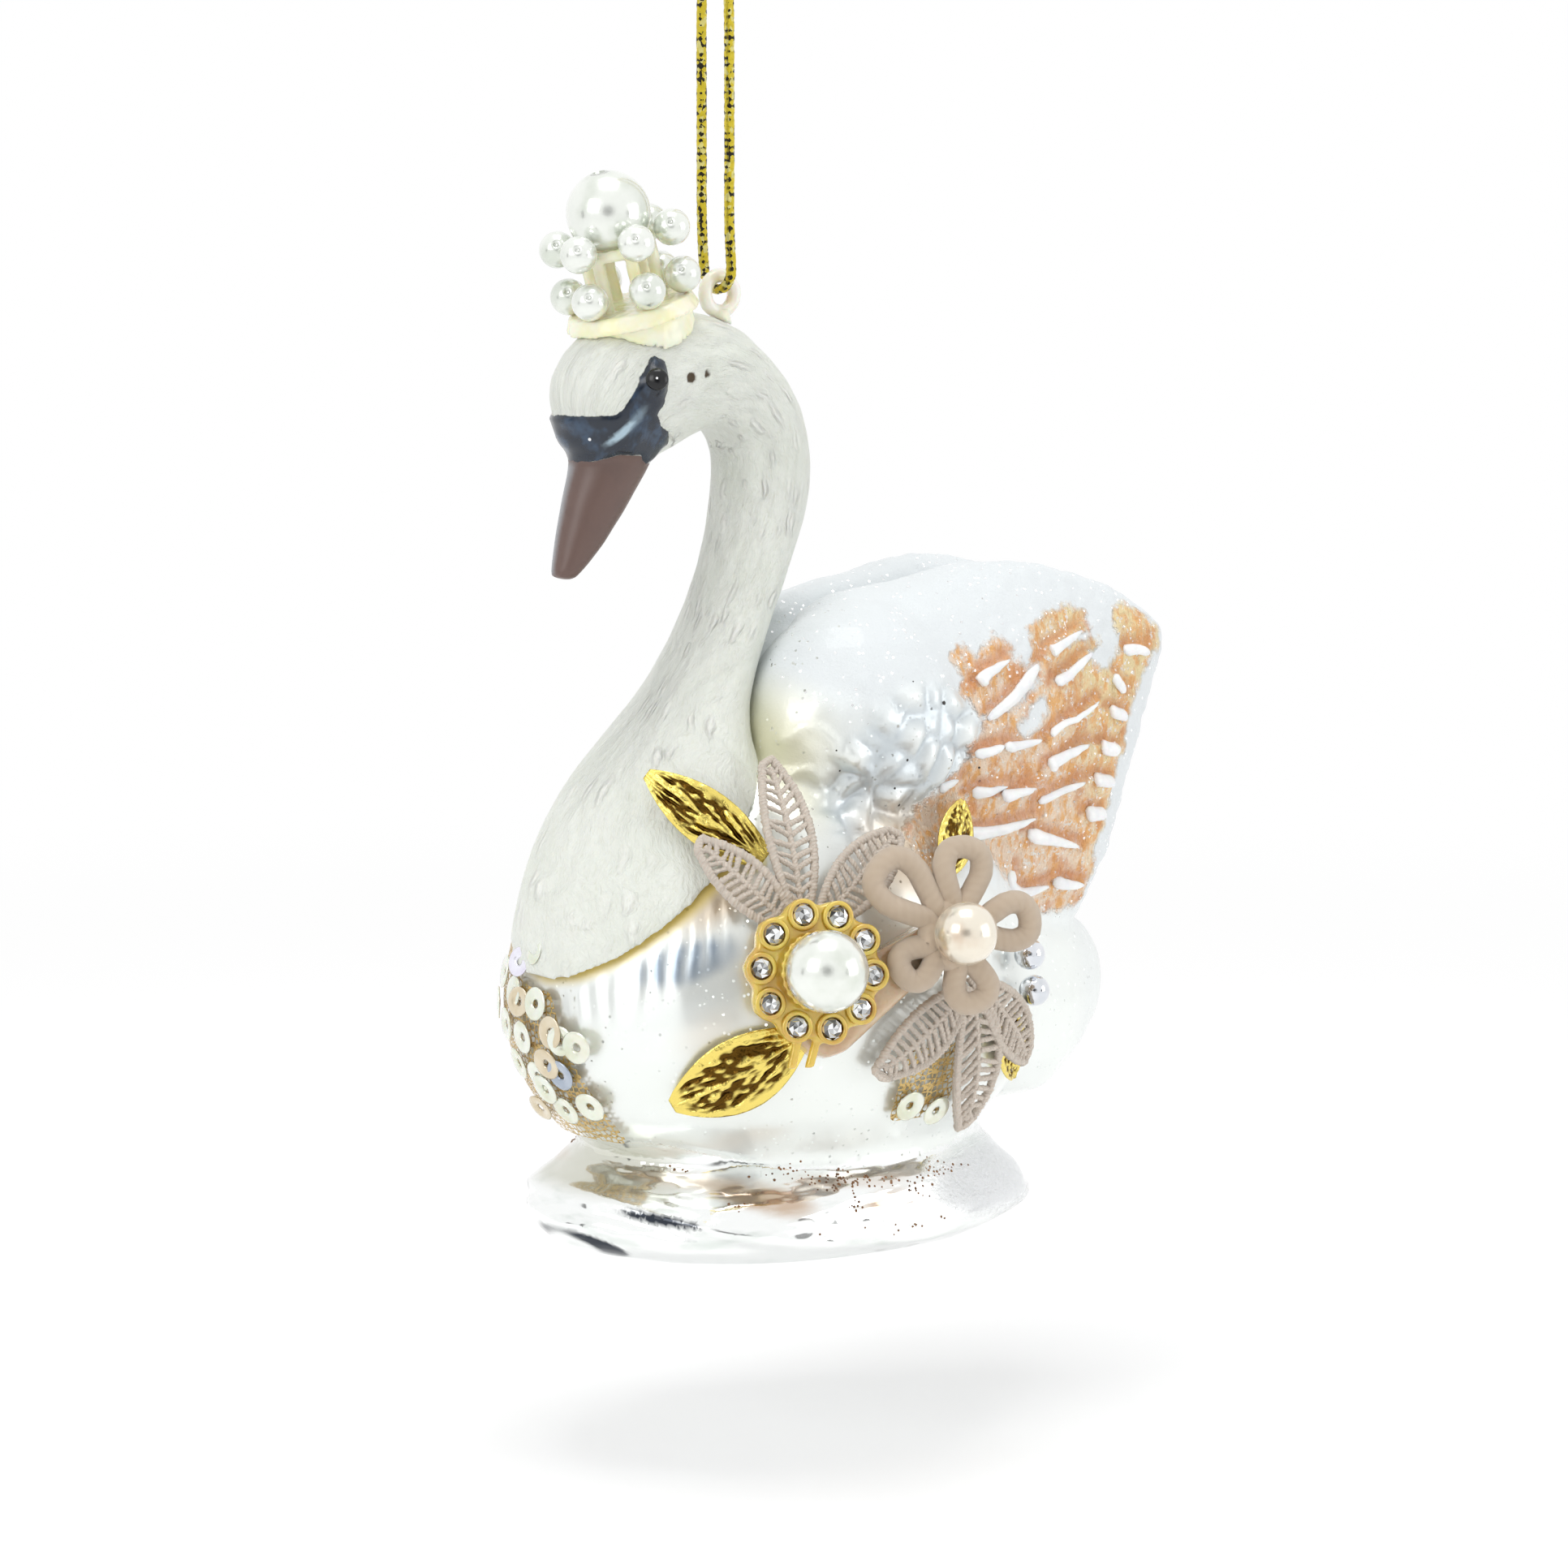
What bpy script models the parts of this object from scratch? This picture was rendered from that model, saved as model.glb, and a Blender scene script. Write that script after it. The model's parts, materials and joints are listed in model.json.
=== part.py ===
"""Blown glass swan ornament with a crown, a flower spray and a gold hanging cord.

The swan faces -X and its decorated flank faces -Y.  Every piece is modelled in a frame
whose origin is the middle of the plinth, and one empty then hangs the whole swan from the
top of the cord's knot, which is the world's origin.
"""
import math

import bmesh
import bpy
from mathutils import Matrix, Vector

# Fits
GAP = 0.0003
SKIN_FILLET = 0.0008

# Blown body: height, half length, half width
HULL_SECTIONS = (
    (0.0060, 0.0235, 0.0180),
    (0.0120, 0.0266, 0.0204),
    (0.0180, 0.0322, 0.0246),
    (0.0270, 0.0360, 0.0274),
    (0.0360, 0.0352, 0.0268),
    (0.0440, 0.0318, 0.0246),
    (0.0510, 0.0262, 0.0208),
    (0.0570, 0.0188, 0.0152),
    (0.0610, 0.0090, 0.0080),
)
HULL_RINGS = 15
HULL_SIDES = 28

# Plinth of still water: height, half length, half width
PLINTH_SECTIONS = (
    (0.0000, 0.0288, 0.0222),
    (0.0018, 0.0324, 0.0246),
    (0.0045, 0.0340, 0.0255),
    (0.0072, 0.0326, 0.0246),
    (0.0105, 0.0286, 0.0218),
    (0.0135, 0.0256, 0.0196),
)
PLINTH_SIDES = 40
RIPPLE_DEPTH = 0.0007
RIPPLE_LIFT = 0.0007
RIPPLES = 5

# Wing: station along X, outer face, inner face, height of the widest line, ridge offset,
# ridge height, lower edge height, lower edge offset
WING_SECTIONS = (
    (-0.0065, 0.0085, -0.0010, 0.0560, 0.0025, 0.0635, 0.0440, 0.0040),
    (0.0000, 0.0140, -0.0010, 0.0580, 0.0030, 0.0762, 0.0380, 0.0060),
    (0.0080, 0.0178, -0.0010, 0.0590, 0.0038, 0.0790, 0.0360, 0.0080),
    (0.0160, 0.0192, -0.0010, 0.0580, 0.0044, 0.0804, 0.0350, 0.0090),
    (0.0240, 0.0188, -0.0010, 0.0570, 0.0058, 0.0819, 0.0340, 0.0090),
    (0.0320, 0.0176, -0.0005, 0.0565, 0.0076, 0.0817, 0.0330, 0.0090),
    (0.0400, 0.0158, 0.0015, 0.0575, 0.0089, 0.0798, 0.0365, 0.0092),
    (0.0465, 0.0140, 0.0040, 0.0630, 0.0094, 0.0775, 0.0520, 0.0094),
    (0.0510, 0.0124, 0.0062, 0.0675, 0.0094, 0.0752, 0.0630, 0.0094),
    (0.0545, 0.0108, 0.0080, 0.0705, 0.0094, 0.0727, 0.0685, 0.0094),
)
WING_ROUNDNESS = 2.2
WING_RINGS = 17
WING_SIDES = 20

# Rounded shoulder of short feathers over each wing
SHOULDER_CENTRE = (0.0058, 0.0082, 0.0622)
SHOULDER_RADII = (0.0158, 0.0130, 0.0158)

# Raised feather edges, laid out as a fan behind the shoulder
FAN_CENTRE = (0.0020, 0.0500)
FAN_COLUMNS = ((0.0185, 12.0, 56.0), (0.0270, -6.0, 56.0), (0.0355, -12.0, 48.0))
FEATHER_PITCH_DEG = 8.0
FEATHER_LENGTH = 0.0068
FEATHER_EDGE = 0.0011
FEATHER_RAISE = 0.0007
FEATHER_ROOT = 0.0008

# Tail: station along X, half width, lower edge, upper edge
TAIL_SECTIONS = (
    (0.0260, 0.0190, 0.0120, 0.0440),
    (0.0340, 0.0165, 0.0118, 0.0412),
    (0.0400, 0.0130, 0.0145, 0.0392),
    (0.0450, 0.0095, 0.0190, 0.0356),
    (0.0480, 0.0055, 0.0245, 0.0308),
)
TAIL_SIDES = 14

# Neck, head and beak: front or under edge (x, z), back or top edge (x, z), half width
NECK_SECTIONS = (
    (-0.0368, 0.0342, -0.0072, 0.0600, 0.0166),
    (-0.0363, 0.0390, -0.0074, 0.0618, 0.0154),
    (-0.0352, 0.0450, -0.0075, 0.0636, 0.0136),
    (-0.0324, 0.0515, -0.0072, 0.0656, 0.0116),
    (-0.0284, 0.0572, -0.0066, 0.0680, 0.0098),
    (-0.0227, 0.0630, -0.0056, 0.0712, 0.0083),
    (-0.0174, 0.0692, -0.0038, 0.0755, 0.0072),
    (-0.0133, 0.0766, -0.0009, 0.0815, 0.0065),
    (-0.0106, 0.0840, 0.0018, 0.0872, 0.0061),
    (-0.0094, 0.0906, 0.0032, 0.0921, 0.0060),
    (-0.0092, 0.0950, 0.0030, 0.0970, 0.0059),
    (-0.0102, 0.0979, 0.0012, 0.1026, 0.0060),
    (-0.0119, 0.0992, -0.0026, 0.1073, 0.0064),
    (-0.0142, 0.0986, -0.0084, 0.1118, 0.0070),
    (-0.0164, 0.0976, -0.0156, 0.1136, 0.0076),
    (-0.0186, 0.0966, -0.0224, 0.1134, 0.0078),
    (-0.0202, 0.0959, -0.0284, 0.1112, 0.0074),
    (-0.0209, 0.0953, -0.0322, 0.1074, 0.0068),
    (-0.0212, 0.0948, -0.0330, 0.1032, 0.0061),
    (-0.0214, 0.0943, -0.0316, 0.0988, 0.0053),
    (-0.0219, 0.0935, -0.0305, 0.0964, 0.0046),
    (-0.0246, 0.0893, -0.0319, 0.0918, 0.0037),
    (-0.0282, 0.0848, -0.0331, 0.0866, 0.0027),
    (-0.0316, 0.0818, -0.0340, 0.0823, 0.0017),
)
NECK_SIDES = 20
NECK_RINGS_PER_SECTION = 1.6
EYE_PLACE = (-0.0243, 0.1052)
EYE_RADIUS = 0.0014

# Crown, along its own leaning axis
CROWN_SEAT = (-0.0222, 0.1128)
CROWN_LEAN_DEG = 16.0
CROWN_BASE_RADIUS = 0.0080
CROWN_BASE_HEIGHT = 0.0014
CROWN_SKIRT_RADIUS = 0.0070
CROWN_SKIRT_DEPTH = 0.0050
CROWN_POSTS = 6
CROWN_FIRST_POST_DEG = -165.0
CROWN_POST_RADIUS = 0.0006
CROWN_PEARL_CIRCLE = 0.0070
UPPER_PEARL_HEIGHT = 0.0096
SMALL_PEARL_RADIUS = 0.0021
TOP_PEARL_HEIGHT = 0.0127
TOP_PEARL_RADIUS = 0.0051

# Hanging eyelet, in the swan's middle plane
EYELET_PLACE = (-0.0092, 0.1153)
EYELET_RADIUS = 0.0022
EYELET_WIRE = 0.0008
EYELET_FOOT_RADIUS = 0.0019

# Hanging cord: its route from the eyelet up one strand, as (offset sideways, rise)
CORD_DIAMETER = 0.0012
CORD_LEAN = -0.0006
CORD_STEP = 0.0024
CORD_ROUTE = (
    (0.00135, 0.00036),
    (0.00234, 0.00135),
    (0.00270, 0.00270),
    (0.00272, 0.00800),
    (0.00275, 0.01600),
    (0.00274, 0.02400),
    (0.00272, 0.03200),
    (0.00240, 0.03800),
    (0.00130, 0.04200),
    (0.00076, 0.04460),
)
KNOT_RADIUS = 0.0022

# Brooch and flower share one plane that leans against the flank
SPRAY_PLACE = (-0.0152, 0.0362)
SPRAY_LIFT = 0.0030
SPRAY_BEARING_DEG = -110.5
SPRAY_TILT_DEG = 9.0

BROOCH_STONES = 10
BROOCH_STONE_CIRCLE = 0.0069
BROOCH_STONE_TURN_DEG = 66.0
BROOCH_CUP_REACH = 0.0019
BROOCH_WAIST = 0.0078
BROOCH_THICKNESS = 0.0020
BROOCH_STEM_WIDTH = 0.0010
STONE_RADIUS = 0.0014
STONE_CROWN = 0.0006
STONE_SINK = 0.0006
BROOCH_PEARL_RADIUS = 0.0049
BROOCH_PEARL_SINK = 0.0010

# Cord flower: bearing and reach of each petal
FLOWER_PLACE = (0.0176, 0.0036)
FLOWER_PETALS = ((9.0, 0.0096), (80.0, 0.0104), (137.0, 0.0122), (213.0, 0.0080), (285.0, 0.0085))
FLOWER_EYE = 0.0036
FLOWER_CORD_DIAMETER = 0.0020
FLOWER_PEARL_RADIUS = 0.0038

# Glue pad between the glass and the spray, as two rounds (across, up, radius)
PAD_ROUNDS = ((0.0018, -0.0056, 0.0042), (0.0158, 0.0030, 0.0022))
PAD_DEPTH = 0.0090

# Gold leaves: base (x, z), tip (x, z), half width, lift
GOLD_LEAVES = (
    (-0.0180, 0.0494, -0.0276, 0.0594, 0.0033, 0.0009),
    (-0.0176, 0.0284, -0.0286, 0.0204, 0.0047, 0.0004),
    (0.0062, 0.0462, 0.0124, 0.0540, 0.0030, 0.0004),
    (0.0140, 0.0284, 0.0196, 0.0192, 0.0030, 0.0003),
)
LEAF_THICKNESS = 0.0006
LEAF_EMBOSS = 0.00035
LEAF_ROWS = 8
LEAF_BED_RADIUS = 0.0240

# Guipure lace: base (x, z), tip (x, z), half width
UPPER_LACE = (
    (-0.0176, 0.0424, -0.0250, 0.0518, 0.0028),
    (-0.0156, 0.0440, -0.0134, 0.0608, 0.0030),
    (-0.0132, 0.0430, -0.0008, 0.0520, 0.0032),
)
UPPER_LACE_KNOT = (-0.0156, 0.0424)
LOWER_LACE = (
    (0.0044, 0.0320, -0.0074, 0.0236, 0.0034),
    (0.0066, 0.0318, 0.0098, 0.0144, 0.0040),
    (0.0088, 0.0324, 0.0188, 0.0222, 0.0032),
)
LOWER_LACE_KNOT = (0.0066, 0.0326)
UPPER_LACE_LIFT = 0.0018
LOWER_LACE_LIFT = 0.0020
LACE_THICKNESS = 0.0005
LACE_SLOTS = 5
LACE_KNOT_RADIUS = 0.0030

# Sequins and their tulle: turn from the breast's middle towards the near flank, height
SEQUIN_RADIUS = 0.0020
SEQUIN_HOLE = 0.0005
SEQUIN_THICKNESS = 0.0003
TULLE_THICKNESS = 0.0004
BREAST_TULLE_TURNS = (-40.0, 19.0, 5.0)
BREAST_TULLE_FOOT = 0.0150
BREAST_TULLE_COLLAR_CLEARANCE = 0.0012
BREAST_TULLE_TOP = 0.0380
BREAST_TULLE_RISE = 0.0046
BREAST_SEQUINS = (
    (0.5, 0.0314), (-10.5, 0.0320), (-20.0, 0.0337), (-5.5, 0.0272), (-15.0, 0.0280), (-25.5, 0.0296),
    (14.0, 0.0272), (7.0, 0.0236), (-2.5, 0.0228), (-11.7, 0.0237), (3.5, 0.0190), (13.2, 0.0200),
)
FLANK_TULLE = (-0.0028, 0.0062, 0.0172, 0.0262)
FLANK_SEQUINS = ((-0.0006, 0.0192), (0.0040, 0.0180))

SILVER_BEADS = ((0.0181, 0.0347), (0.0185, 0.0305))
SILVER_BEAD_RADIUS = 0.0019


def clear_scene():
    """Empties the scene of its objects."""
    for obj in list(bpy.data.objects):
        bpy.data.objects.remove(obj, do_unlink=True)


def finish(name, colour, roughness, metallic=0.0, alpha=1.0):
    """Returns a Principled material of the given colour, roughness and metallic value."""
    material = bpy.data.materials.new(name)
    material.use_nodes = True
    shader = material.node_tree.nodes["Principled BSDF"]
    shader.inputs["Base Color"].default_value = (*colour, 1.0)
    shader.inputs["Roughness"].default_value = roughness
    shader.inputs["Metallic"].default_value = metallic
    shader.inputs["Alpha"].default_value = alpha
    return material


def interpolate(stations, value):
    """Returns the row at a value of the first column, on a smooth curve through the rows."""
    rows = sorted(stations)
    value = min(max(value, rows[0][0]), rows[-1][0])
    index = 0
    while index < len(rows) - 2 and rows[index + 1][0] < value:
        index += 1
    low, high = rows[index], rows[index + 1]
    before = rows[index - 1] if index > 0 else low
    after = rows[index + 2] if index + 2 < len(rows) else high
    span = high[0] - low[0]
    t = (value - low[0]) / span
    row = [value]
    for k in range(1, len(low)):
        start = (high[k] - before[k]) / (high[0] - before[0]) * span
        end = (after[k] - low[k]) / (after[0] - low[0]) * span
        row.append(
            (2 * t**3 - 3 * t**2 + 1) * low[k]
            + (t**3 - 2 * t**2 + t) * start
            + (3 * t**2 - 2 * t**3) * high[k]
            + (t**3 - t**2) * end
        )
    return tuple(row)


def spread(low, high, count):
    """Returns evenly spaced values from low to high, both included."""
    return [low + (high - low) * k / (count - 1) for k in range(count)]


def power(value, exponent):
    """Returns value to an exponent, keeping its sign."""
    return math.copysign(abs(value) ** exponent, value)


def add_rings(bm, rings):
    """Adds a closed skin over rings of points, capped at both ends, to a bmesh."""
    loops = [[bm.verts.new(point) for point in ring] for ring in rings]
    count = len(loops[0])
    for lower, upper in zip(loops, loops[1:]):
        for k in range(count):
            n = (k + 1) % count
            bm.faces.new((lower[k], lower[n], upper[n], upper[k]))
    bm.faces.new(list(reversed(loops[0])))
    bm.faces.new(loops[-1])


def mesh_object(name, bm, material, smooth=True):
    """Turns a bmesh into an object with outward faces and one material."""
    bmesh.ops.recalc_face_normals(bm, faces=bm.faces)
    mesh = bpy.data.meshes.new(name)
    bm.to_mesh(mesh)
    bm.free()
    if material is not None:
        mesh.materials.append(material)
    if smooth:
        mesh.polygons.foreach_set("use_smooth", [True] * len(mesh.polygons))
    obj = bpy.data.objects.new(name, mesh)
    bpy.context.scene.collection.objects.link(obj)
    return obj


def as_guide(obj):
    """Hides a form that only shapes other pieces."""
    obj.hide_render = True
    obj.display_type = "WIRE"
    return obj


def combine(obj, other, operation):
    """Adds a Boolean modifier that also settles overlaps inside the meshes themselves."""
    modifier = obj.modifiers.new(operation.title(), "BOOLEAN")
    modifier.operation = operation
    modifier.object = other
    modifier.solver = "EXACT"
    modifier.use_self = True
    return modifier


def ellipse_ring(centre_x, half_length, half_width, height, sides):
    """Returns a level ellipse of points."""
    ring = []
    for k in range(sides):
        turn = 2 * math.pi * k / sides
        ring.append((centre_x + half_length * math.cos(turn), half_width * math.sin(turn), height))
    return ring


def add_hull(bm, grow):
    """Adds the swan's egg-shaped body."""
    heights = spread(HULL_SECTIONS[0][0], HULL_SECTIONS[-1][0], HULL_RINGS)
    rings = []
    for height in heights:
        _, half_length, half_width = interpolate(HULL_SECTIONS, height)
        rings.append(ellipse_ring(0.0, half_length + grow, half_width + grow, height, HULL_SIDES))
    top = HULL_SECTIONS[-1]
    rings.append(ellipse_ring(0.0, top[1] * 0.3, top[2] * 0.3, top[0] + 0.0008 + grow, HULL_SIDES))
    add_rings(bm, rings)


def add_plinth(bm):
    """Adds the rippled plinth with its level underside."""
    rings = []
    for index, (height, half_length, half_width) in enumerate(PLINTH_SECTIONS):
        share = math.sin(math.pi * index / (len(PLINTH_SECTIONS) - 1))
        ring = []
        for k in range(PLINTH_SIDES):
            turn = 2 * math.pi * k / PLINTH_SIDES
            ripple = math.sin(RIPPLES * turn) + 0.5 * math.sin((RIPPLES + 3) * turn + 1.0)
            reach = RIPPLE_DEPTH * ripple * share
            lift = RIPPLE_LIFT * math.sin((RIPPLES - 2) * turn + 0.6) * share
            ring.append((
                (half_length + reach) * math.cos(turn),
                (half_width + reach) * math.sin(turn),
                height + lift,
            ))
        rings.append(ring)
    add_rings(bm, rings)


def wing_ring(station, side, grow):
    """Returns one upright section of a wing, as points round four rounded quarters."""
    x, outer, inner, middle, ridge, top, bottom, keel = interpolate(WING_SECTIONS, station)
    outer += grow
    inner -= grow
    top += grow
    bottom -= grow
    ring = []
    for k in range(WING_SIDES):
        turn = 2 * math.pi * k / WING_SIDES
        across = power(math.cos(turn), 2 / WING_ROUNDNESS)
        along = power(math.sin(turn), 2 / WING_ROUNDNESS)
        apex = ridge if along >= 0 else keel
        reach = (outer if across >= 0 else inner) - apex
        height = middle + along * ((top - middle) if along >= 0 else (middle - bottom))
        ring.append((x, side * (apex + abs(across) * reach), height))
    return ring


def add_wing(bm, side, grow):
    """Adds one raised wing, on the side of the given sign of Y."""
    start = WING_SECTIONS[0][0]
    end = WING_SECTIONS[-1][0]
    rings = [wing_ring(station, side, grow) for station in spread(start, end, WING_RINGS)]
    add_rings(bm, rings)


def wing_reach(x, z):
    """Returns how far a wing's outer face lies from the middle plane."""
    if not WING_SECTIONS[0][0] <= x <= WING_SECTIONS[-1][0]:
        return 0.0
    _, outer, _, middle, ridge, top, bottom, keel = interpolate(WING_SECTIONS, x)
    if z >= middle:
        share, apex = (z - middle) / (top - middle), ridge
    else:
        share, apex = (middle - z) / (middle - bottom), keel
    if share >= 1:
        return 0.0
    return apex + (outer - apex) * (1 - share**WING_ROUNDNESS) ** (1 / WING_ROUNDNESS)


def add_shoulder(bm, side, grow):
    """Adds the rounded shoulder of one wing."""
    x, y, z = SHOULDER_CENTRE
    radii = [radius + grow for radius in SHOULDER_RADII]
    place = Matrix.Translation((x, side * y, z)) @ Matrix.Diagonal((*radii, 1.0))
    bmesh.ops.create_uvsphere(bm, u_segments=20, v_segments=12, radius=1.0, matrix=place)


def shoulder_reach(x, z):
    """Returns how far a shoulder's outer face lies from the middle plane."""
    along = (x - SHOULDER_CENTRE[0]) / SHOULDER_RADII[0]
    up = (z - SHOULDER_CENTRE[2]) / SHOULDER_RADII[2]
    inside = 1 - along**2 - up**2
    if inside <= 0:
        return 0.0
    return SHOULDER_CENTRE[1] + SHOULDER_RADII[1] * math.sqrt(inside)


def feather_places():
    """Yields each raised feather edge as its middle (x, z) and its bearing in radians."""
    for radius, low, high in FAN_COLUMNS:
        rows = int((high - low) / FEATHER_PITCH_DEG) + 1
        for row in range(rows):
            bearing = math.radians(low + row * FEATHER_PITCH_DEG)
            x = FAN_CENTRE[0] + radius * math.cos(bearing)
            z = FAN_CENTRE[1] + radius * math.sin(bearing)
            if wing_reach(x, z) > wing_reach(x, z - FEATHER_EDGE) * 0.5 > 0:
                yield x, z, bearing


def add_feather_edge(bm, side, x, z, bearing):
    """Adds one raised feather edge, rooted in the wing's face."""
    along = (math.cos(bearing), math.sin(bearing))
    across = (-along[1], along[0])
    corners = []
    for end, width in ((-1, 0.35), (0, 1.0), (1, 0.35)):
        for edge in (-1, 1):
            step = end * FEATHER_LENGTH / 2
            shift = edge * width * FEATHER_EDGE / 2
            cx = x + along[0] * step + across[0] * shift
            cz = z + along[1] * step + across[1] * shift
            corners.append((cx, cz))
    rings = []
    for first, second in ((0, 1), (2, 3), (4, 5)):
        ring = []
        for (cx, cz), lift in (
            (corners[first], -FEATHER_ROOT),
            (corners[first], FEATHER_RAISE),
            (corners[second], FEATHER_RAISE * 0.6),
            (corners[second], -FEATHER_ROOT),
        ):
            ring.append((cx, side * (wing_reach(cx, cz) + lift), cz))
        rings.append(ring)
    add_rings(bm, rings)


def add_tail(bm, grow):
    """Adds the pointed tail."""
    rings = []
    for x, half_width, bottom, top in TAIL_SECTIONS:
        middle = (bottom + top) / 2
        half_height = (top - bottom) / 2
        ring = []
        for k in range(TAIL_SIDES):
            turn = 2 * math.pi * k / TAIL_SIDES
            y = (half_width + grow) * power(math.cos(turn), 0.9)
            ring.append((x, y, middle + (half_height + grow) * power(math.sin(turn), 0.9)))
        rings.append(ring)
    add_rings(bm, rings)


def make_glass_body(material):
    """Builds the blown glass body with its wings, tail and plinth as one solid."""
    bm = bmesh.new()
    add_hull(bm, 0.0)
    add_tail(bm, 0.0)
    for side in (-1, 1):
        add_wing(bm, side, 0.0)
        add_shoulder(bm, side, 0.0)
        for x, z, bearing in feather_places():
            add_feather_edge(bm, side, x, z, bearing)
    body = mesh_object("glass_body", bm, material)
    plinth = bmesh.new()
    add_plinth(plinth)
    combine(body, as_guide(mesh_object("plinth_form", plinth, material)), "UNION")
    return body


def make_glass_clearance():
    """Builds the body's forms, grown by the glue line, that trim what sits on the glass."""
    bm = bmesh.new()
    add_hull(bm, GAP)
    for side in (-1, 1):
        add_wing(bm, side, GAP)
        add_shoulder(bm, side, GAP)
    return as_guide(mesh_object("glass_clearance", bm, None))


def neck_rows():
    """Returns the neck's sections as rows that run smoothly from collar to beak tip."""
    rows = [(float(k), *section) for k, section in enumerate(NECK_SECTIONS)]
    count = int((len(rows) - 1) * NECK_RINGS_PER_SECTION) + 1
    return [interpolate(rows, value)[1:] for value in spread(0.0, len(rows) - 1.0, count)]


def add_neck(bm, grow):
    """Adds the neck, head and beak as one skin."""
    rings = []
    for front_x, front_z, back_x, back_z, half_width in neck_rows():
        front = Vector((front_x, 0.0, front_z))
        back = Vector((back_x, 0.0, back_z))
        middle = (front + back) / 2
        reach = (back - front) / 2
        reach = reach.normalized() * (reach.length + grow)
        ring = []
        for k in range(NECK_SIDES):
            turn = 2 * math.pi * k / NECK_SIDES
            sideways = Vector((0.0, (half_width + grow) * math.sin(turn), 0.0))
            ring.append(middle + reach * math.cos(turn) + sideways)
        rings.append(ring)
    add_rings(bm, rings)


def neck_reach(x, z):
    """Returns how far the neck's side lies from the middle plane at a point of its side view."""
    best = 0.0
    nearest = 0.004
    for front_x, front_z, back_x, back_z, half_width in neck_rows():
        middle = ((front_x + back_x) / 2, (front_z + back_z) / 2)
        half = ((back_x - front_x) / 2, (back_z - front_z) / 2)
        length = math.hypot(*half)
        unit = (half[0] / length, half[1] / length)
        along = (x - middle[0]) * unit[0] + (z - middle[1]) * unit[1]
        off = abs((x - middle[0]) * -unit[1] + (z - middle[1]) * unit[0])
        if abs(along) < length and off < nearest:
            nearest = off
            best = half_width * math.sqrt(1 - (along / length) ** 2)
    return best


def make_swan_neck(material, clearance):
    """Builds the moulded neck, head and beak, seated on the glass breast."""
    bm = bmesh.new()
    add_neck(bm, 0.0)
    for side in (-1, 1):
        depth = neck_reach(*EYE_PLACE)
        place = Matrix.Translation((EYE_PLACE[0], side * depth, EYE_PLACE[1]))
        bmesh.ops.create_uvsphere(bm, u_segments=10, v_segments=6, radius=EYE_RADIUS, matrix=place)
    neck = mesh_object("swan_neck", bm, material)
    combine(neck, clearance, "DIFFERENCE")
    return neck


def hull_reach(x, z):
    """Returns how far the body's side lies from the middle plane."""
    if not HULL_SECTIONS[0][0] <= z <= HULL_SECTIONS[-1][0]:
        return 0.0
    _, half_length, half_width = interpolate(HULL_SECTIONS, z)
    inside = 1 - (x / half_length) ** 2
    return half_width * math.sqrt(inside) if inside > 0 else 0.0


def skin_reach(x, z):
    """Returns the outermost side of glass and neck, with their creases filled a little."""
    reaches = (hull_reach(x, z), wing_reach(x, z), shoulder_reach(x, z), neck_reach(x, z))
    most = max(reaches)
    return most + SKIN_FILLET * math.log(sum(math.exp((r - most) / SKIN_FILLET) for r in reaches))


def drape(x, z, lift):
    """Returns the point that stands off the decorated flank's skin by a distance."""
    step = 0.0008
    slope_x = (skin_reach(x + step, z) - skin_reach(x - step, z)) / (2 * step)
    slope_z = (skin_reach(x, z + step) - skin_reach(x, z - step)) / (2 * step)
    outward = Vector((-slope_x, -1.0, -slope_z)).normalized()
    return Vector((x, -skin_reach(x, z), z)) + outward * lift


def hull_point(turn_deg, z, lift):
    """Returns a point off the breast, by its turn towards the near flank and its height."""
    def on_hull(turn, height):
        _, half_length, half_width = interpolate(HULL_SECTIONS, height)
        return Vector((-half_length * math.cos(turn), -half_width * math.sin(turn), height))

    turn = math.radians(turn_deg)
    step = 0.01
    along = on_hull(turn + step, z) - on_hull(turn - step, z)
    up = on_hull(turn, z + 0.0005) - on_hull(turn, z - 0.0005)
    outward = along.cross(up).normalized()
    if outward.x > 0:
        outward.negate()
    return on_hull(turn, z) + outward * lift, outward


def add_sheet(bm, under, over, present):
    """Adds a solid sheet between two grids of points, with its absent cells left open."""
    rows = len(under)
    columns = len(under[0])
    low = [[bm.verts.new(point) for point in row] for row in under]
    high = [[bm.verts.new(point) for point in row] for row in over]

    def there(i, j):
        return 0 <= i < rows - 1 and 0 <= j < columns - 1 and present(i, j)

    for i in range(rows - 1):
        for j in range(columns - 1):
            if not there(i, j):
                continue
            corners = ((i, j), (i + 1, j), (i + 1, j + 1), (i, j + 1))
            bm.faces.new([high[a][b] for a, b in corners])
            bm.faces.new([low[a][b] for a, b in reversed(corners)])
            beyond = ((i, j - 1), (i + 1, j), (i, j + 1), (i - 1, j))
            for k in range(4):
                if not there(*beyond[k]):
                    (a, b), (c, d) = corners[k], corners[(k + 1) % 4]
                    bm.faces.new((low[a][b], low[c][d], high[c][d], high[a][b]))
    bmesh.ops.delete(bm, geom=[v for v in bm.verts if not v.link_faces], context="VERTS")


def outward_at(x, z):
    """Returns the direction in which the decorated flank faces at a point."""
    return (drape(x, z, 0.001) - drape(x, z, 0.0)).normalized()


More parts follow.
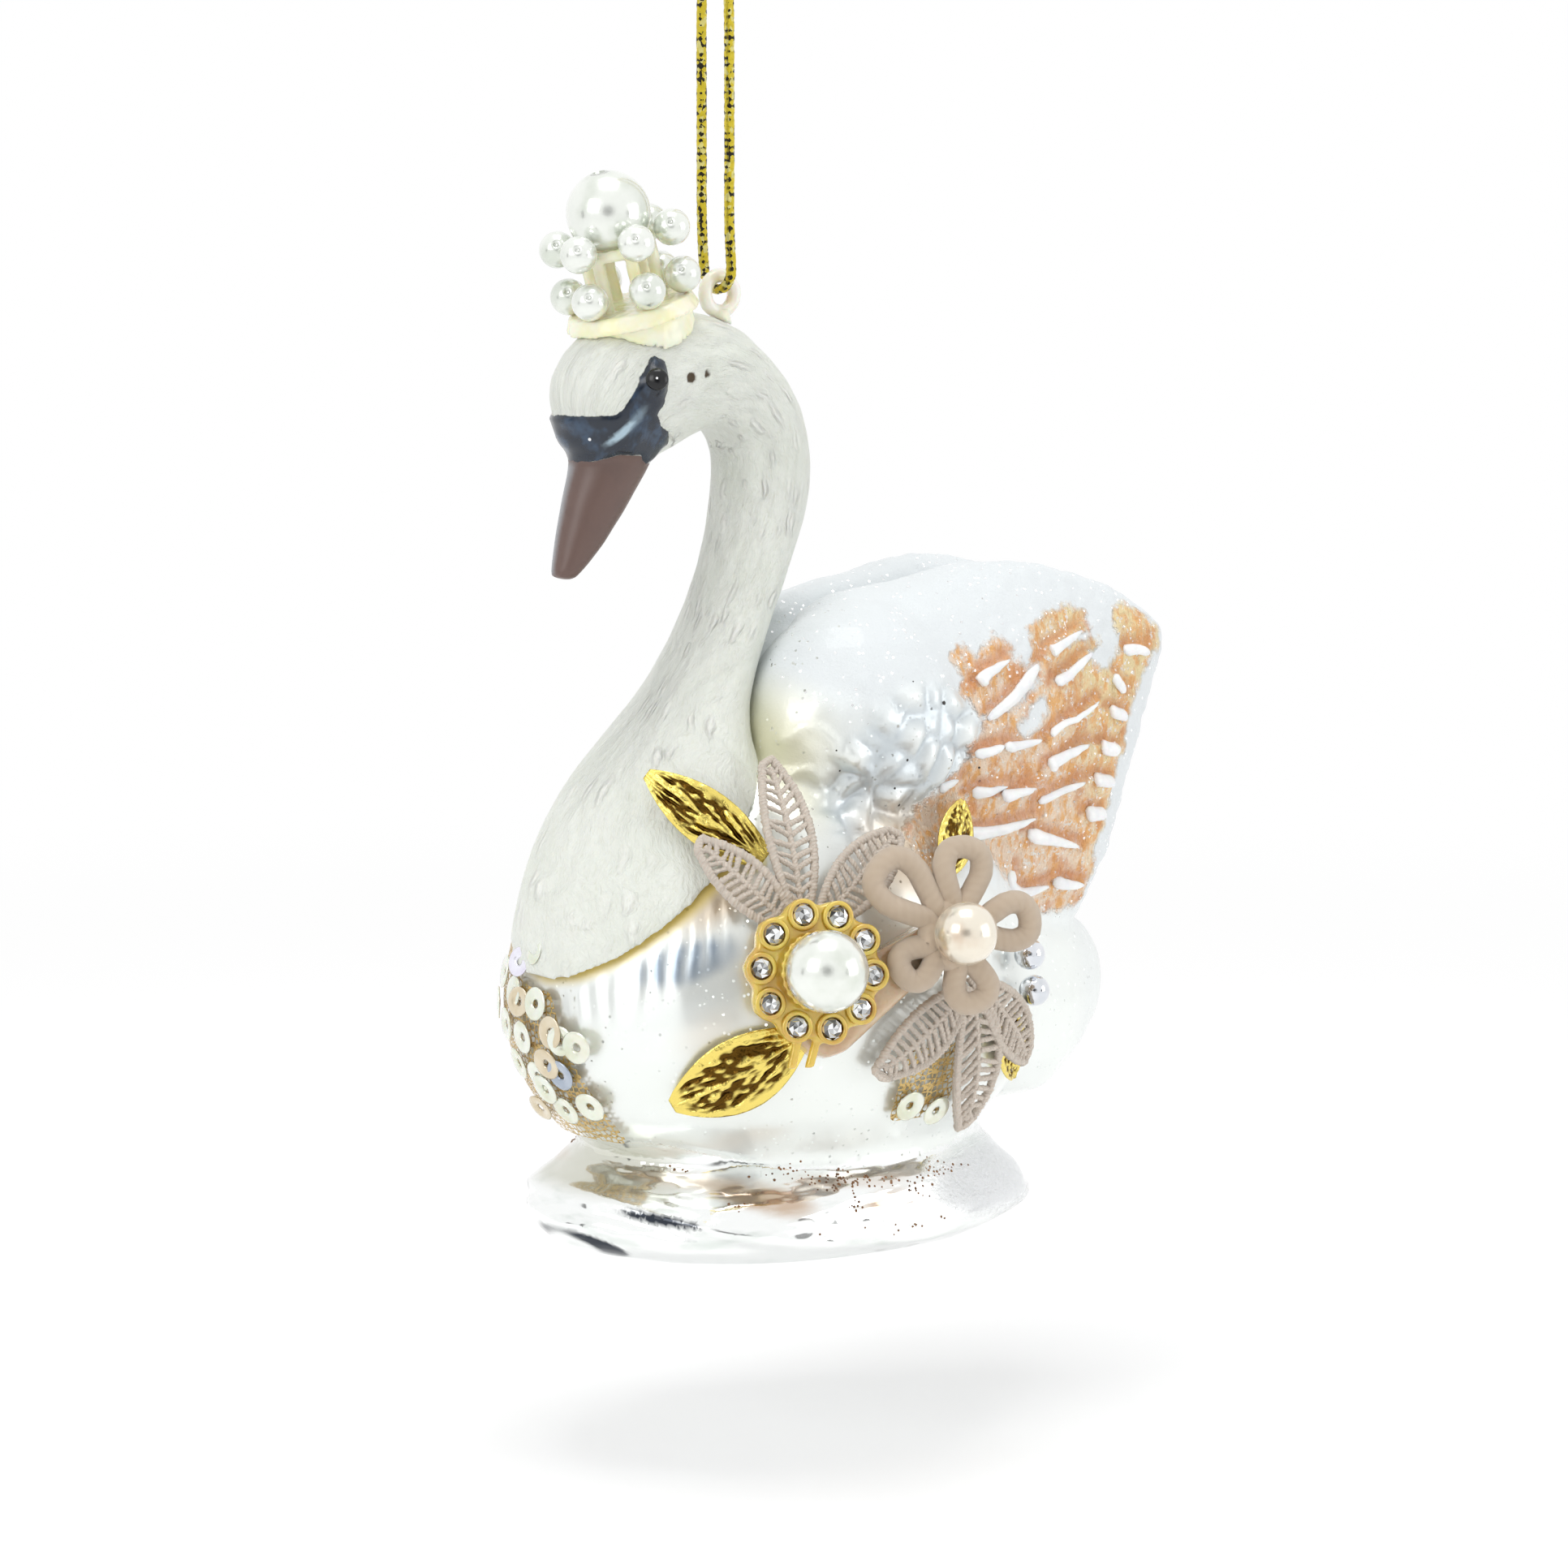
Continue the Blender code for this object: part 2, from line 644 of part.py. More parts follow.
def leaf_grid(leaf, along, across, lift):
    """Returns a grid of points over an arched leaf; lift is a function of row and column."""
    base_x, base_z, tip_x, tip_z, half_width = leaf
    base = Vector((base_x, -skin_reach(base_x, base_z), base_z))
    tip = Vector((tip_x, -skin_reach(tip_x, tip_z), tip_z))
    run = tip - base
    outward = (outward_at(base_x, base_z) + outward_at(tip_x, tip_z)).normalized()
    side = run.cross(outward).normalized()
    outward = side.cross(run).normalized()
    arch = run.length_squared / (8 * LEAF_BED_RADIUS)
    grid = []
    for i, u in enumerate(along):
        reach = half_width * max(math.sin(math.pi * (0.09 + 0.87 * u)) ** 0.8, 0.12)
        spine = base + run * u + outward * arch * 4 * u * (1 - u)
        row = []
        for j, v in enumerate(across):
            row.append(spine + side * reach * v + outward * lift(i, j))
        grid.append(row)
    return grid


def make_gold_leaf(name, leaf, material):
    """Builds one embossed metal leaf that follows the flank."""
    *shape, lift = leaf
    along = spread(0.0, 1.0, LEAF_ROWS)
    across = (-1.0, -0.5, 0.0, 0.5, 1.0)

    def relief(i, j):
        vein = j in (0, 2, 4) or (i % 2 == 0)
        return lift + LEAF_THICKNESS + (LEAF_EMBOSS if vein else 0.0)

    bm = bmesh.new()
    under = leaf_grid(shape, along, across, lambda i, j: lift)
    over = leaf_grid(shape, along, across, relief)
    add_sheet(bm, under, over, lambda i, j: True)
    return mesh_object(name, bm, material, smooth=False)


def add_lace_leaf(bm, leaf, lift):
    """Adds one openwork lace leaf: two rims and a rib, tied by bars."""
    along = [0.0]
    for k in range(LACE_SLOTS):
        along += [(k + 0.42) / (LACE_SLOTS + 0.42), (k + 1.0) / (LACE_SLOTS + 0.42)]
    along.append(1.0)
    across = (-1.0, -0.66, -0.14, 0.14, 0.66, 1.0)
    under = leaf_grid(leaf, along, across, lambda i, j: lift)
    over = leaf_grid(leaf, along, across, lambda i, j: lift + LACE_THICKNESS)
    add_sheet(bm, under, over, lambda i, j: j in (0, 2, 4) or i % 2 == 0)


def make_lace_sprig(name, leaves, knot, lift, material):
    """Builds three lace leaves that grow from one stitched knot."""
    bm = bmesh.new()
    for k, leaf in enumerate(leaves):
        add_lace_leaf(bm, leaf, lift + 0.0002 * (k - 1))
    sprig = mesh_object(name, bm, material, smooth=False)
    centre = drape(*knot, lift + LACE_THICKNESS / 2)
    outward = outward_at(*knot)
    turn = outward.to_track_quat("Z", "Y").to_matrix().to_4x4()
    flat = Matrix.Diagonal((LACE_KNOT_RADIUS, LACE_KNOT_RADIUS, LACE_THICKNESS * 1.6, 1.0))
    boss = bmesh.new()
    bmesh.ops.create_uvsphere(
        boss, u_segments=12, v_segments=6, radius=1.0, matrix=Matrix.Translation(centre) @ turn @ flat
    )
    combine(sprig, as_guide(mesh_object(name + "_knot_form", boss, material)), "UNION")
    return sprig


def add_disc(bm, place, radius, hole, thickness, sides=10):
    """Adds a flat ring with a hole, standing on the XY plane of its placing matrix."""
    rings = []
    for reach, height in ((hole, 0.0), (radius, 0.0), (radius, thickness), (hole, thickness)):
        ring = []
        for k in range(sides):
            turn = 2 * math.pi * k / sides
            point = Vector((reach * math.cos(turn), reach * math.sin(turn), height))
            ring.append(bm.verts.new(place @ point))
        rings.append(ring)
    for a, b in zip(rings, rings[1:] + rings[:1]):
        for k in range(sides):
            n = (k + 1) % sides
            bm.faces.new((a[k], a[n], b[n], b[k]))


def facing(point, outward):
    """Returns a matrix at a point whose Z axis looks outward."""
    turn = outward.to_track_quat("Z", "Y").to_matrix().to_4x4()
    return Matrix.Translation(point) @ turn


def make_sequin(name, point, outward, material):
    """Builds one sequin with its stitching hole."""
    bm = bmesh.new()
    place = facing(point, outward)
    add_disc(bm, place, SEQUIN_RADIUS, SEQUIN_HOLE, SEQUIN_THICKNESS)
    return mesh_object(name, bm, material, smooth=False)


def make_breast_tulle(material):
    """Builds the band of tulle under the neck's collar."""
    far, near_foot, near_head = BREAST_TULLE_TURNS
    collar_foot = NECK_SECTIONS[0][1]
    under, over = [], []
    for share in spread(0.0, 1.0, 13):
        lower, upper = [], []
        for level in spread(0.0, 1.0, 7):
            near = near_foot + (near_head - near_foot) * level
            turn = far + (near - far) * share
            head = collar_foot - BREAST_TULLE_COLLAR_CLEARANCE + BREAST_TULLE_RISE * (turn / 25.0) ** 2
            z = BREAST_TULLE_FOOT + (min(head, BREAST_TULLE_TOP) - BREAST_TULLE_FOOT) * level
            lower.append(hull_point(turn, z, GAP)[0])
            upper.append(hull_point(turn, z, GAP + TULLE_THICKNESS)[0])
        under.append(lower)
        over.append(upper)
    bm = bmesh.new()
    add_sheet(bm, under, over, lambda i, j: True)
    return mesh_object("breast_tulle", bm, material, smooth=False)


def make_flank_tulle(material):
    """Builds the small patch of tulle under the lower lace."""
    low_x, high_x, low_z, high_z = FLANK_TULLE
    columns = spread(low_x, high_x, 6)
    rows = spread(low_z, high_z, 6)
    under = [[drape(x, z, GAP) for z in rows] for x in columns]
    over = [[drape(x, z, GAP + TULLE_THICKNESS) for z in rows] for x in columns]
    bm = bmesh.new()
    add_sheet(bm, under, over, lambda i, j: True)
    return mesh_object("flank_tulle", bm, material, smooth=False)


def make_sequins(material):
    """Builds the sequins on both patches of tulle."""
    lift = GAP + TULLE_THICKNESS + GAP
    for k, (turn, z) in enumerate(BREAST_SEQUINS):
        point, outward = hull_point(turn, z, lift)
        make_sequin(f"breast_sequin_{k + 1}", point, outward, material)
    for k, (x, z) in enumerate(FLANK_SEQUINS):
        point = drape(x, z, lift)
        make_sequin(f"flank_sequin_{k + 1}", point, outward_at(x, z), material)


def make_silver_beads(material):
    """Builds the two silver beads beside the flower."""
    for k, (x, z) in enumerate(SILVER_BEADS):
        bm = bmesh.new()
        place = Matrix.Translation(drape(x, z, SILVER_BEAD_RADIUS + GAP))
        bmesh.ops.create_uvsphere(
            bm, u_segments=12, v_segments=8, radius=SILVER_BEAD_RADIUS, matrix=place
        )
        mesh_object(f"silver_bead_{k + 1}", bm, material)


def spray_frame():
    """Returns the matrix of the plane that carries the brooch and the flower."""
    bearing = math.radians(SPRAY_BEARING_DEG)
    tilt = math.radians(SPRAY_TILT_DEG)
    outward = Vector((
        math.cos(bearing) * math.cos(tilt), math.sin(bearing) * math.cos(tilt), math.sin(tilt)
    ))
    across = Vector((0.0, 0.0, 1.0)).cross(outward).normalized()
    up = outward.cross(across)
    turn = Matrix((across, up, outward)).transposed().to_4x4()
    return Matrix.Translation(drape(*SPRAY_PLACE, SPRAY_LIFT)) @ turn


def stone_places():
    """Returns the middle of each stone on the brooch's plane."""
    places = []
    for k in range(BROOCH_STONES):
        turn = math.radians(BROOCH_STONE_TURN_DEG) + 2 * math.pi * k / BROOCH_STONES
        places.append((BROOCH_STONE_CIRCLE * math.cos(turn), BROOCH_STONE_CIRCLE * math.sin(turn)))
    return places


def make_brooch(frame, amber, pearl, crystal):
    """Builds the moulded setting, its stones and its pearl."""
    bm = bmesh.new()
    outline = []
    for k in range(BROOCH_STONES * 4):
        turn = math.radians(BROOCH_STONE_TURN_DEG) + 2 * math.pi * k / (BROOCH_STONES * 4)
        swell = (BROOCH_STONE_CIRCLE + BROOCH_CUP_REACH, 0.0084, BROOCH_WAIST, 0.0084)[k % 4]
        outline.append((swell * math.cos(turn), swell * math.sin(turn)))
    rings = []
    for shrink, height in ((0.97, 0.0), (1.0, 0.0005), (1.0, 0.0015), (0.96, BROOCH_THICKNESS)):
        rings.append([frame @ Vector((x * shrink, y * shrink, height)) for x, y in outline])
    add_rings(bm, rings)
    for across, end_across in ((-0.0022, -0.0034), (0.0002, -0.0012)):
        stem = []
        for up, shift in ((-0.0070, across), (-0.0112, end_across)):
            half = BROOCH_STEM_WIDTH / 2
            stem.append([
                frame @ Vector((shift + dx, up, height))
                for dx, height in ((-half, 0.0004), (half, 0.0004), (half, 0.0014), (-half, 0.0014))
            ])
        add_rings(bm, stem)
    setting = mesh_object("brooch_setting", bm, amber)
    pearl_height = BROOCH_THICKNESS - BROOCH_PEARL_SINK + BROOCH_PEARL_RADIUS
    cutter = bmesh.new()
    bmesh.ops.create_uvsphere(
        cutter, u_segments=20, v_segments=12, radius=BROOCH_PEARL_RADIUS + GAP,
        matrix=frame @ Matrix.Translation((0.0, 0.0, pearl_height)),
    )
    for x, y in stone_places():
        place = frame @ Matrix.Translation((x, y, BROOCH_THICKNESS))
        bmesh.ops.create_cone(
            cutter, cap_ends=True, segments=8, radius1=STONE_RADIUS + GAP,
            radius2=STONE_RADIUS + GAP, depth=2 * (STONE_SINK + GAP), matrix=place,
        )
    combine(setting, as_guide(mesh_object("brooch_recess_form", cutter, amber)), "DIFFERENCE")
    ball = bmesh.new()
    bmesh.ops.create_uvsphere(
        ball, u_segments=18, v_segments=12, radius=BROOCH_PEARL_RADIUS,
        matrix=frame @ Matrix.Translation((0.0, 0.0, pearl_height)),
    )
    mesh_object("brooch_pearl", ball, pearl)
    for k, (x, y) in enumerate(stone_places()):
        stone = bmesh.new()
        rings = []
        for reach, height in ((0.5, -STONE_SINK), (1.0, 0.0), (0.6, STONE_CROWN)):
            ring = []
            for side in range(8):
                turn = 2 * math.pi * (side + 0.5) / 8
                ring.append(frame @ Vector((
                    x + reach * STONE_RADIUS * math.cos(turn),
                    y + reach * STONE_RADIUS * math.sin(turn),
                    BROOCH_THICKNESS + height,
                )))
            rings.append(ring)
        add_rings(stone, rings)
        mesh_object(f"rhinestone_{k + 1}", stone, crystal, smooth=False)


def petal_points():
    """Returns the flower cord's closed route round its petals, in the spray's plane."""
    route = []
    count = len(FLOWER_PETALS)
    for k, (bearing, reach) in enumerate(FLOWER_PETALS):
        next_bearing = FLOWER_PETALS[(k + 1) % count][0] + (360.0 if k == count - 1 else 0.0)
        for share, offset in (
            (0.0, -13.0), (0.28, -17.0), (0.66, -17.5), (0.93, -11.0), (1.0, 0.0),
            (0.93, 11.0), (0.66, 17.5), (0.28, 17.0), (0.0, 13.0),
        ):
            radius = FLOWER_EYE + (reach - FLOWER_EYE) * share
            route.append((radius, math.radians(bearing + offset)))
        route.append((FLOWER_EYE - 0.0004, math.radians((bearing + next_bearing) / 2)))
    return [(r * math.cos(turn), r * math.sin(turn)) for r, turn in route]


def make_flower(frame, cord, pearl):
    """Builds the flower of looped cord and the pearl at its eye."""
    curve = bpy.data.curves.new("cord_flower", "CURVE")
    curve.dimensions = "3D"
    curve.bevel_depth = FLOWER_CORD_DIAMETER / 2
    curve.bevel_resolution = 2
    spline = curve.splines.new("POLY")
    points = petal_points()
    spline.points.add(len(points) - 1)
    for point, (x, y) in zip(spline.points, points):
        place = (FLOWER_PLACE[0] + x, FLOWER_PLACE[1] + y, FLOWER_CORD_DIAMETER / 2)
        point.co = (*(frame @ Vector(place)), 1.0)
    spline.use_cyclic_u = True
    spline.use_smooth = True
    curve.materials.append(cord)
    flower = bpy.data.objects.new("cord_flower", curve)
    bpy.context.scene.collection.objects.link(flower)
    reach = FLOWER_PEARL_RADIUS + FLOWER_CORD_DIAMETER / 2 + GAP
    rise = FLOWER_CORD_DIAMETER / 2 + math.sqrt(reach**2 - (FLOWER_EYE - 0.0004) ** 2)
    ball = bmesh.new()
    bmesh.ops.create_uvsphere(
        ball, u_segments=16, v_segments=10, radius=FLOWER_PEARL_RADIUS,
        matrix=frame @ Matrix.Translation((*FLOWER_PLACE, rise)),
    )
    mesh_object("flower_pearl", ball, pearl)


def make_glue_pad(frame, material, glass_clearance):
    """Builds the set glue that fills the space between the glass and the spray."""
    (x0, y0, r0), (x1, y1, r1) = PAD_ROUNDS
    heading = math.atan2(y1 - y0, x1 - x0)
    outline = []
    for x, y, radius, start in ((x0, y0, r0, heading + math.pi / 2), (x1, y1, r1, heading - math.pi / 2)):
        for k in range(7):
            turn = start + math.pi * k / 6
            outline.append((x + radius * math.cos(turn), y + radius * math.sin(turn)))
    rings = []
    for depth, swell in ((PAD_DEPTH, 1.10), (0.0026, 1.06), (0.0012, 1.04), (GAP, 0.96)):
        rings.append([frame @ Vector((x * swell, y * swell, -depth)) for x, y in outline])
    bm = bmesh.new()
    add_rings(bm, rings)
    pad = mesh_object("glue_pad", bm, material)
    combine(pad, glass_clearance, "DIFFERENCE")
    return pad


def crown_frame_matrix():
    """Returns the matrix of the crown's leaning axis."""
    lean = Matrix.Rotation(-math.radians(CROWN_LEAN_DEG), 4, "Y")
    return Matrix.Translation((CROWN_SEAT[0], 0.0, CROWN_SEAT[1])) @ lean


def add_cylinder(bm, place, low, high, radius_low, radius_high, sides=24):
    """Adds an upright cylinder or cone between two heights of a placing matrix."""
    middle = place @ Matrix.Translation((0.0, 0.0, (low + high) / 2))
    bmesh.ops.create_cone(
        bm, cap_ends=True, segments=sides, radius1=radius_low, radius2=radius_high,
        depth=high - low, matrix=middle,
    )


def add_torus(bm, place, radius, wire, around, sides=8):
    """Adds a torus about the Z axis of a placing matrix."""
    loops = []
    for k in range(around):
        turn = 2 * math.pi * k / around
        ring = []
        for j in range(sides):
            roll = 2 * math.pi * j / sides
            reach = radius + wire * math.cos(roll)
            point = Vector((reach * math.cos(turn), reach * math.sin(turn), wire * math.sin(roll)))
            ring.append(bm.verts.new(place @ point))
        loops.append(ring)
    for a, b in zip(loops, loops[1:] + loops[:1]):
        for j in range(sides):
            n = (j + 1) % sides
            bm.faces.new((a[j], b[j], b[n], a[n]))


def make_crown(cream, pearl, head_clearance):
    """Builds the moulded crown frame, seated on the head, and its pearls."""
    place = crown_frame_matrix()
    post_circle = CROWN_PEARL_CIRCLE - SMALL_PEARL_RADIUS - GAP - CROWN_POST_RADIUS
    seat = TOP_PEARL_RADIUS + GAP + CROWN_POST_RADIUS
    rim_height = TOP_PEARL_HEIGHT - math.sqrt(seat**2 - post_circle**2)
    bearings = [
        math.radians(CROWN_FIRST_POST_DEG) + 2 * math.pi * k / CROWN_POSTS for k in range(CROWN_POSTS)
    ]
    bm = bmesh.new()
    add_torus(bm, place @ Matrix.Translation((0, 0, rim_height)), post_circle, CROWN_POST_RADIUS, 24)
    add_cylinder(bm, place, -CROWN_SKIRT_DEPTH, 0.0005, CROWN_SKIRT_RADIUS, CROWN_SKIRT_RADIUS)
    for bearing in bearings:
        foot = Matrix.Translation((post_circle * math.cos(bearing), post_circle * math.sin(bearing), 0))
        add_cylinder(bm, place @ foot, 0.0003, rim_height, CROWN_POST_RADIUS, CROWN_POST_RADIUS, 8)
    add_cylinder(bm, place, -0.0002, CROWN_BASE_HEIGHT, CROWN_BASE_RADIUS, CROWN_BASE_RADIUS - 0.0006)
    frame = mesh_object("crown_frame", bm, cream)
    combine(frame, head_clearance, "DIFFERENCE")
    lower = CROWN_BASE_HEIGHT + GAP + SMALL_PEARL_RADIUS
    for row, height in (("lower", lower), ("upper", UPPER_PEARL_HEIGHT)):
        for k, bearing in enumerate(bearings):
            spot = Matrix.Translation((
                CROWN_PEARL_CIRCLE * math.cos(bearing), CROWN_PEARL_CIRCLE * math.sin(bearing), height
            ))
            bm = bmesh.new()
            bmesh.ops.create_uvsphere(
                bm, u_segments=10, v_segments=7, radius=SMALL_PEARL_RADIUS, matrix=place @ spot
            )
            mesh_object(f"crown_{row}_pearl_{k + 1}", bm, pearl)
    bm = bmesh.new()
    top = place @ Matrix.Translation((0.0, 0.0, TOP_PEARL_HEIGHT))
    bmesh.ops.create_uvsphere(bm, u_segments=18, v_segments=12, radius=TOP_PEARL_RADIUS, matrix=top)
    mesh_object("crown_top_pearl", bm, pearl)


def make_eyelet(material, head_clearance):
    """Builds the moulded hanging ring and the foot it is glued by."""
    centre = Matrix.Translation((EYELET_PLACE[0], 0.0, EYELET_PLACE[1]))
    upright = Matrix.Rotation(math.pi / 2, 4, "X")
    bm = bmesh.new()
    add_torus(bm, centre @ upright, EYELET_RADIUS, EYELET_WIRE, 20)
    eyelet = mesh_object("hanging_eyelet", bm, material)
    foot = bmesh.new()
    low = -EYELET_RADIUS - 0.0042
    add_cylinder(foot, centre, low, -EYELET_RADIUS + 0.0002, EYELET_FOOT_RADIUS, 0.0011, 12)
    combine(eyelet, as_guide(mesh_object("eyelet_foot_form", foot, material)), "UNION")
    combine(eyelet, head_clearance, "DIFFERENCE")
    return eyelet


def cord_bight():
    """Returns where the cord's middle hangs in the eyelet."""
    rise = EYELET_RADIUS - EYELET_WIRE - CORD_DIAMETER / 2 - GAP
    return Vector((EYELET_PLACE[0] + CORD_LEAN * 0.3, 0.0, EYELET_PLACE[1] + rise))


def cord_points():
    """Returns the cord's points, evenly along a smooth curve through its route."""
    bight = cord_bight()
    strand = [bight + Vector((CORD_LEAN * 0.7 * min(up / 0.008, 1.0), side, up)) for side, up in CORD_ROUTE]
    route = [Vector((p.x, -p.y, p.z)) for p in reversed(strand)] + [bight] + strand
    rows = []
    travel = 0.0
    for k, point in enumerate(route):
        if k:
            travel += (point - route[k - 1]).length
        rows.append((travel, *point))
    count = int(travel / CORD_STEP) + 1
    return [Vector(interpolate(rows, value)[1:]) for value in spread(0.0, travel, count)]


def make_cord(material):
    """Builds the cord's two strands and the knot that closes them."""
    points = cord_points()
    curve = bpy.data.curves.new("hanging_cord", "CURVE")
    curve.dimensions = "3D"
    curve.bevel_depth = CORD_DIAMETER / 2
    curve.bevel_resolution = 2
    curve.use_fill_caps = True
    spline = curve.splines.new("POLY")
    spline.points.add(len(points) - 1)
    for target, point in zip(spline.points, points):
        target.co = (*point, 1.0)
    spline.use_smooth = True
    curve.materials.append(material)
    cord = bpy.data.objects.new("hanging_cord", curve)
    bpy.context.scene.collection.objects.link(cord)
    bm = bmesh.new()
    place = Matrix.Translation(knot_centre())
    bmesh.ops.create_uvsphere(bm, u_segments=12, v_segments=8, radius=KNOT_RADIUS, matrix=place)
    mesh_object("cord_knot", bm, material)


def knot_centre():
    """Returns the middle of the knot above the cord's ends."""
    end = cord_points()[-1]
    return Vector((end.x, 0.0, end.z + GAP + KNOT_RADIUS))


def hang_from_knot():
    """Parents every piece to an empty, so that the top of the knot is the world's origin."""
    top = knot_centre() + Vector((0.0, 0.0, KNOT_RADIUS))
    hanger = bpy.data.objects.new("swan_ornament", None)
    bpy.context.scene.collection.objects.link(hanger)
    for obj in list(bpy.context.scene.objects):
        if obj is not hanger:
            obj.parent = hanger
    hanger.location = -top


def main():
    """Builds every piece and hangs them from the knot."""
    clear_scene()
    glass = finish("silvered_glass", (0.86, 0.87, 0.84), 0.12, 0.25)
    ivory = finish("ivory_resin", (0.78, 0.79, 0.71), 0.45)
    cream = finish("cream_crown", (0.80, 0.75, 0.50), 0.35)
    pearl = finish("pearl", (0.88, 0.87, 0.82), 0.15, 0.1)
    eyelet = finish("eyelet_plastic", (0.86, 0.84, 0.78), 0.3)
    gold_cord = finish("gold_cord", (0.55, 0.42, 0.05), 0.35, 0.8)
    amber = finish("amber_setting", (0.68, 0.45, 0.10), 0.3)
    crystal = finish("rhinestone", (0.75, 0.76, 0.74), 0.05, 0.6)
    soutache = finish("flower_cord", (0.46, 0.32, 0.25), 0.9)
    lace = finish("guipure_lace", (0.68, 0.54, 0.47), 0.95)
    gold_leaf = finish("gold_leaf", (0.72, 0.52, 0.08), 0.25, 0.9)
    tulle = finish("gold_tulle", (0.45, 0.36, 0.20), 0.8)
    sequin = finish("sequin", (0.75, 0.74, 0.66), 0.15, 0.6)
    silver = finish("silver_bead", (0.80, 0.81, 0.82), 0.1, 0.9)
    glue = finish("set_glue", (0.78, 0.70, 0.58), 0.25)

    make_glass_body(glass)
    glass_clearance = make_glass_clearance()
    make_swan_neck(ivory, glass_clearance)
    head = bmesh.new()
    add_neck(head, GAP)
    head_clearance = as_guide(mesh_object("head_clearance", head, None))
    make_crown(cream, pearl, head_clearance)
    make_eyelet(eyelet, head_clearance)
    make_cord(gold_cord)
    spray = spray_frame()
    make_brooch(spray, amber, pearl, crystal)
    make_flower(spray, soutache, pearl)
    make_glue_pad(spray, glue, glass_clearance)
    for k, leaf in enumerate(GOLD_LEAVES):
        make_gold_leaf(f"gold_leaf_{k + 1}", leaf, gold_leaf)
    make_lace_sprig("upper_lace_sprig", UPPER_LACE, UPPER_LACE_KNOT, UPPER_LACE_LIFT, lace)
    make_lace_sprig("lower_lace_sprig", LOWER_LACE, LOWER_LACE_KNOT, LOWER_LACE_LIFT, lace)
    make_breast_tulle(tulle)
    make_flank_tulle(tulle)
    make_sequins(sequin)
    make_silver_beads(silver)
    hang_from_knot()


main()
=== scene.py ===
"""Looks of a blown glass swan ornament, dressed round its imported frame.

The swan faces -X, its decorated flank faces -Y, and it hangs by the knot at the origin.
Lengths are metres; those written in millimetres are multiplied by MM.
"""

import json
import logging
import math
import random
from dataclasses import dataclass, field
from enum import Enum
from typing import Callable, Iterable, Optional, Sequence

import bmesh
import bpy
import numpy as np
from mathutils import Matrix, Vector, noise
from mathutils.bvhtree import BVHTree

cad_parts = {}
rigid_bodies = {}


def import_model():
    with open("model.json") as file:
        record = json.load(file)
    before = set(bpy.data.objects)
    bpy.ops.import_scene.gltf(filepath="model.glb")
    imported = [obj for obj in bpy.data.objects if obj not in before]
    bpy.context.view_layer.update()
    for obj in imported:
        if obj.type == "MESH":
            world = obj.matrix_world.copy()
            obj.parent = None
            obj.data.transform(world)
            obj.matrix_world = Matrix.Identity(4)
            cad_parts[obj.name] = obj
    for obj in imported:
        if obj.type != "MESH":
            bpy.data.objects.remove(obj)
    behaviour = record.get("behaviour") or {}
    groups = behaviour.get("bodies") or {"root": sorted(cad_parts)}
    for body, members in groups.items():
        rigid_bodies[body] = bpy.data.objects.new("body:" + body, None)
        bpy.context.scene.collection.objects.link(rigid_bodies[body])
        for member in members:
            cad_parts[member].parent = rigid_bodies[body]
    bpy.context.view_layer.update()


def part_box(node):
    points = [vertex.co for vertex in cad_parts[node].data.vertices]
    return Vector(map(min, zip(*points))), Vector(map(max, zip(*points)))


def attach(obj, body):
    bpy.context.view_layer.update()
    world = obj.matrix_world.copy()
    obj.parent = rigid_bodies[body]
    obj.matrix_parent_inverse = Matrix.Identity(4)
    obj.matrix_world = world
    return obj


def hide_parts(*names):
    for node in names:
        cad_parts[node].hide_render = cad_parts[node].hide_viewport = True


log = logging.getLogger("swan")

Socket = bpy.types.NodeSocket
Node = bpy.types.Node
Piece = bpy.types.Object

MM = 0.001
PLINTH_FOOT = Vector((9.8, 0.0, -165.1)) * MM
BODY = "root"
MERGE_DISTANCE = 0.000002
BRAID_PITCH = 620.0


class Side(Enum):
    """The two flanks of the swan, by the sign of Y."""

    NEAR = -1
    FAR = 1


def srgb(red: int, green: int, blue: int) -> tuple[float, float, float, float]:
    """Returns a linear colour from 0 to 255 values as they show on a screen."""

    def linear(value: int) -> float:
        """Returns one channel as linear light."""
        share = value / 255
        return share / 12.92 if share <= 0.04045 else ((share + 0.055) / 1.055) ** 2.4

    return linear(red), linear(green), linear(blue), 1.0


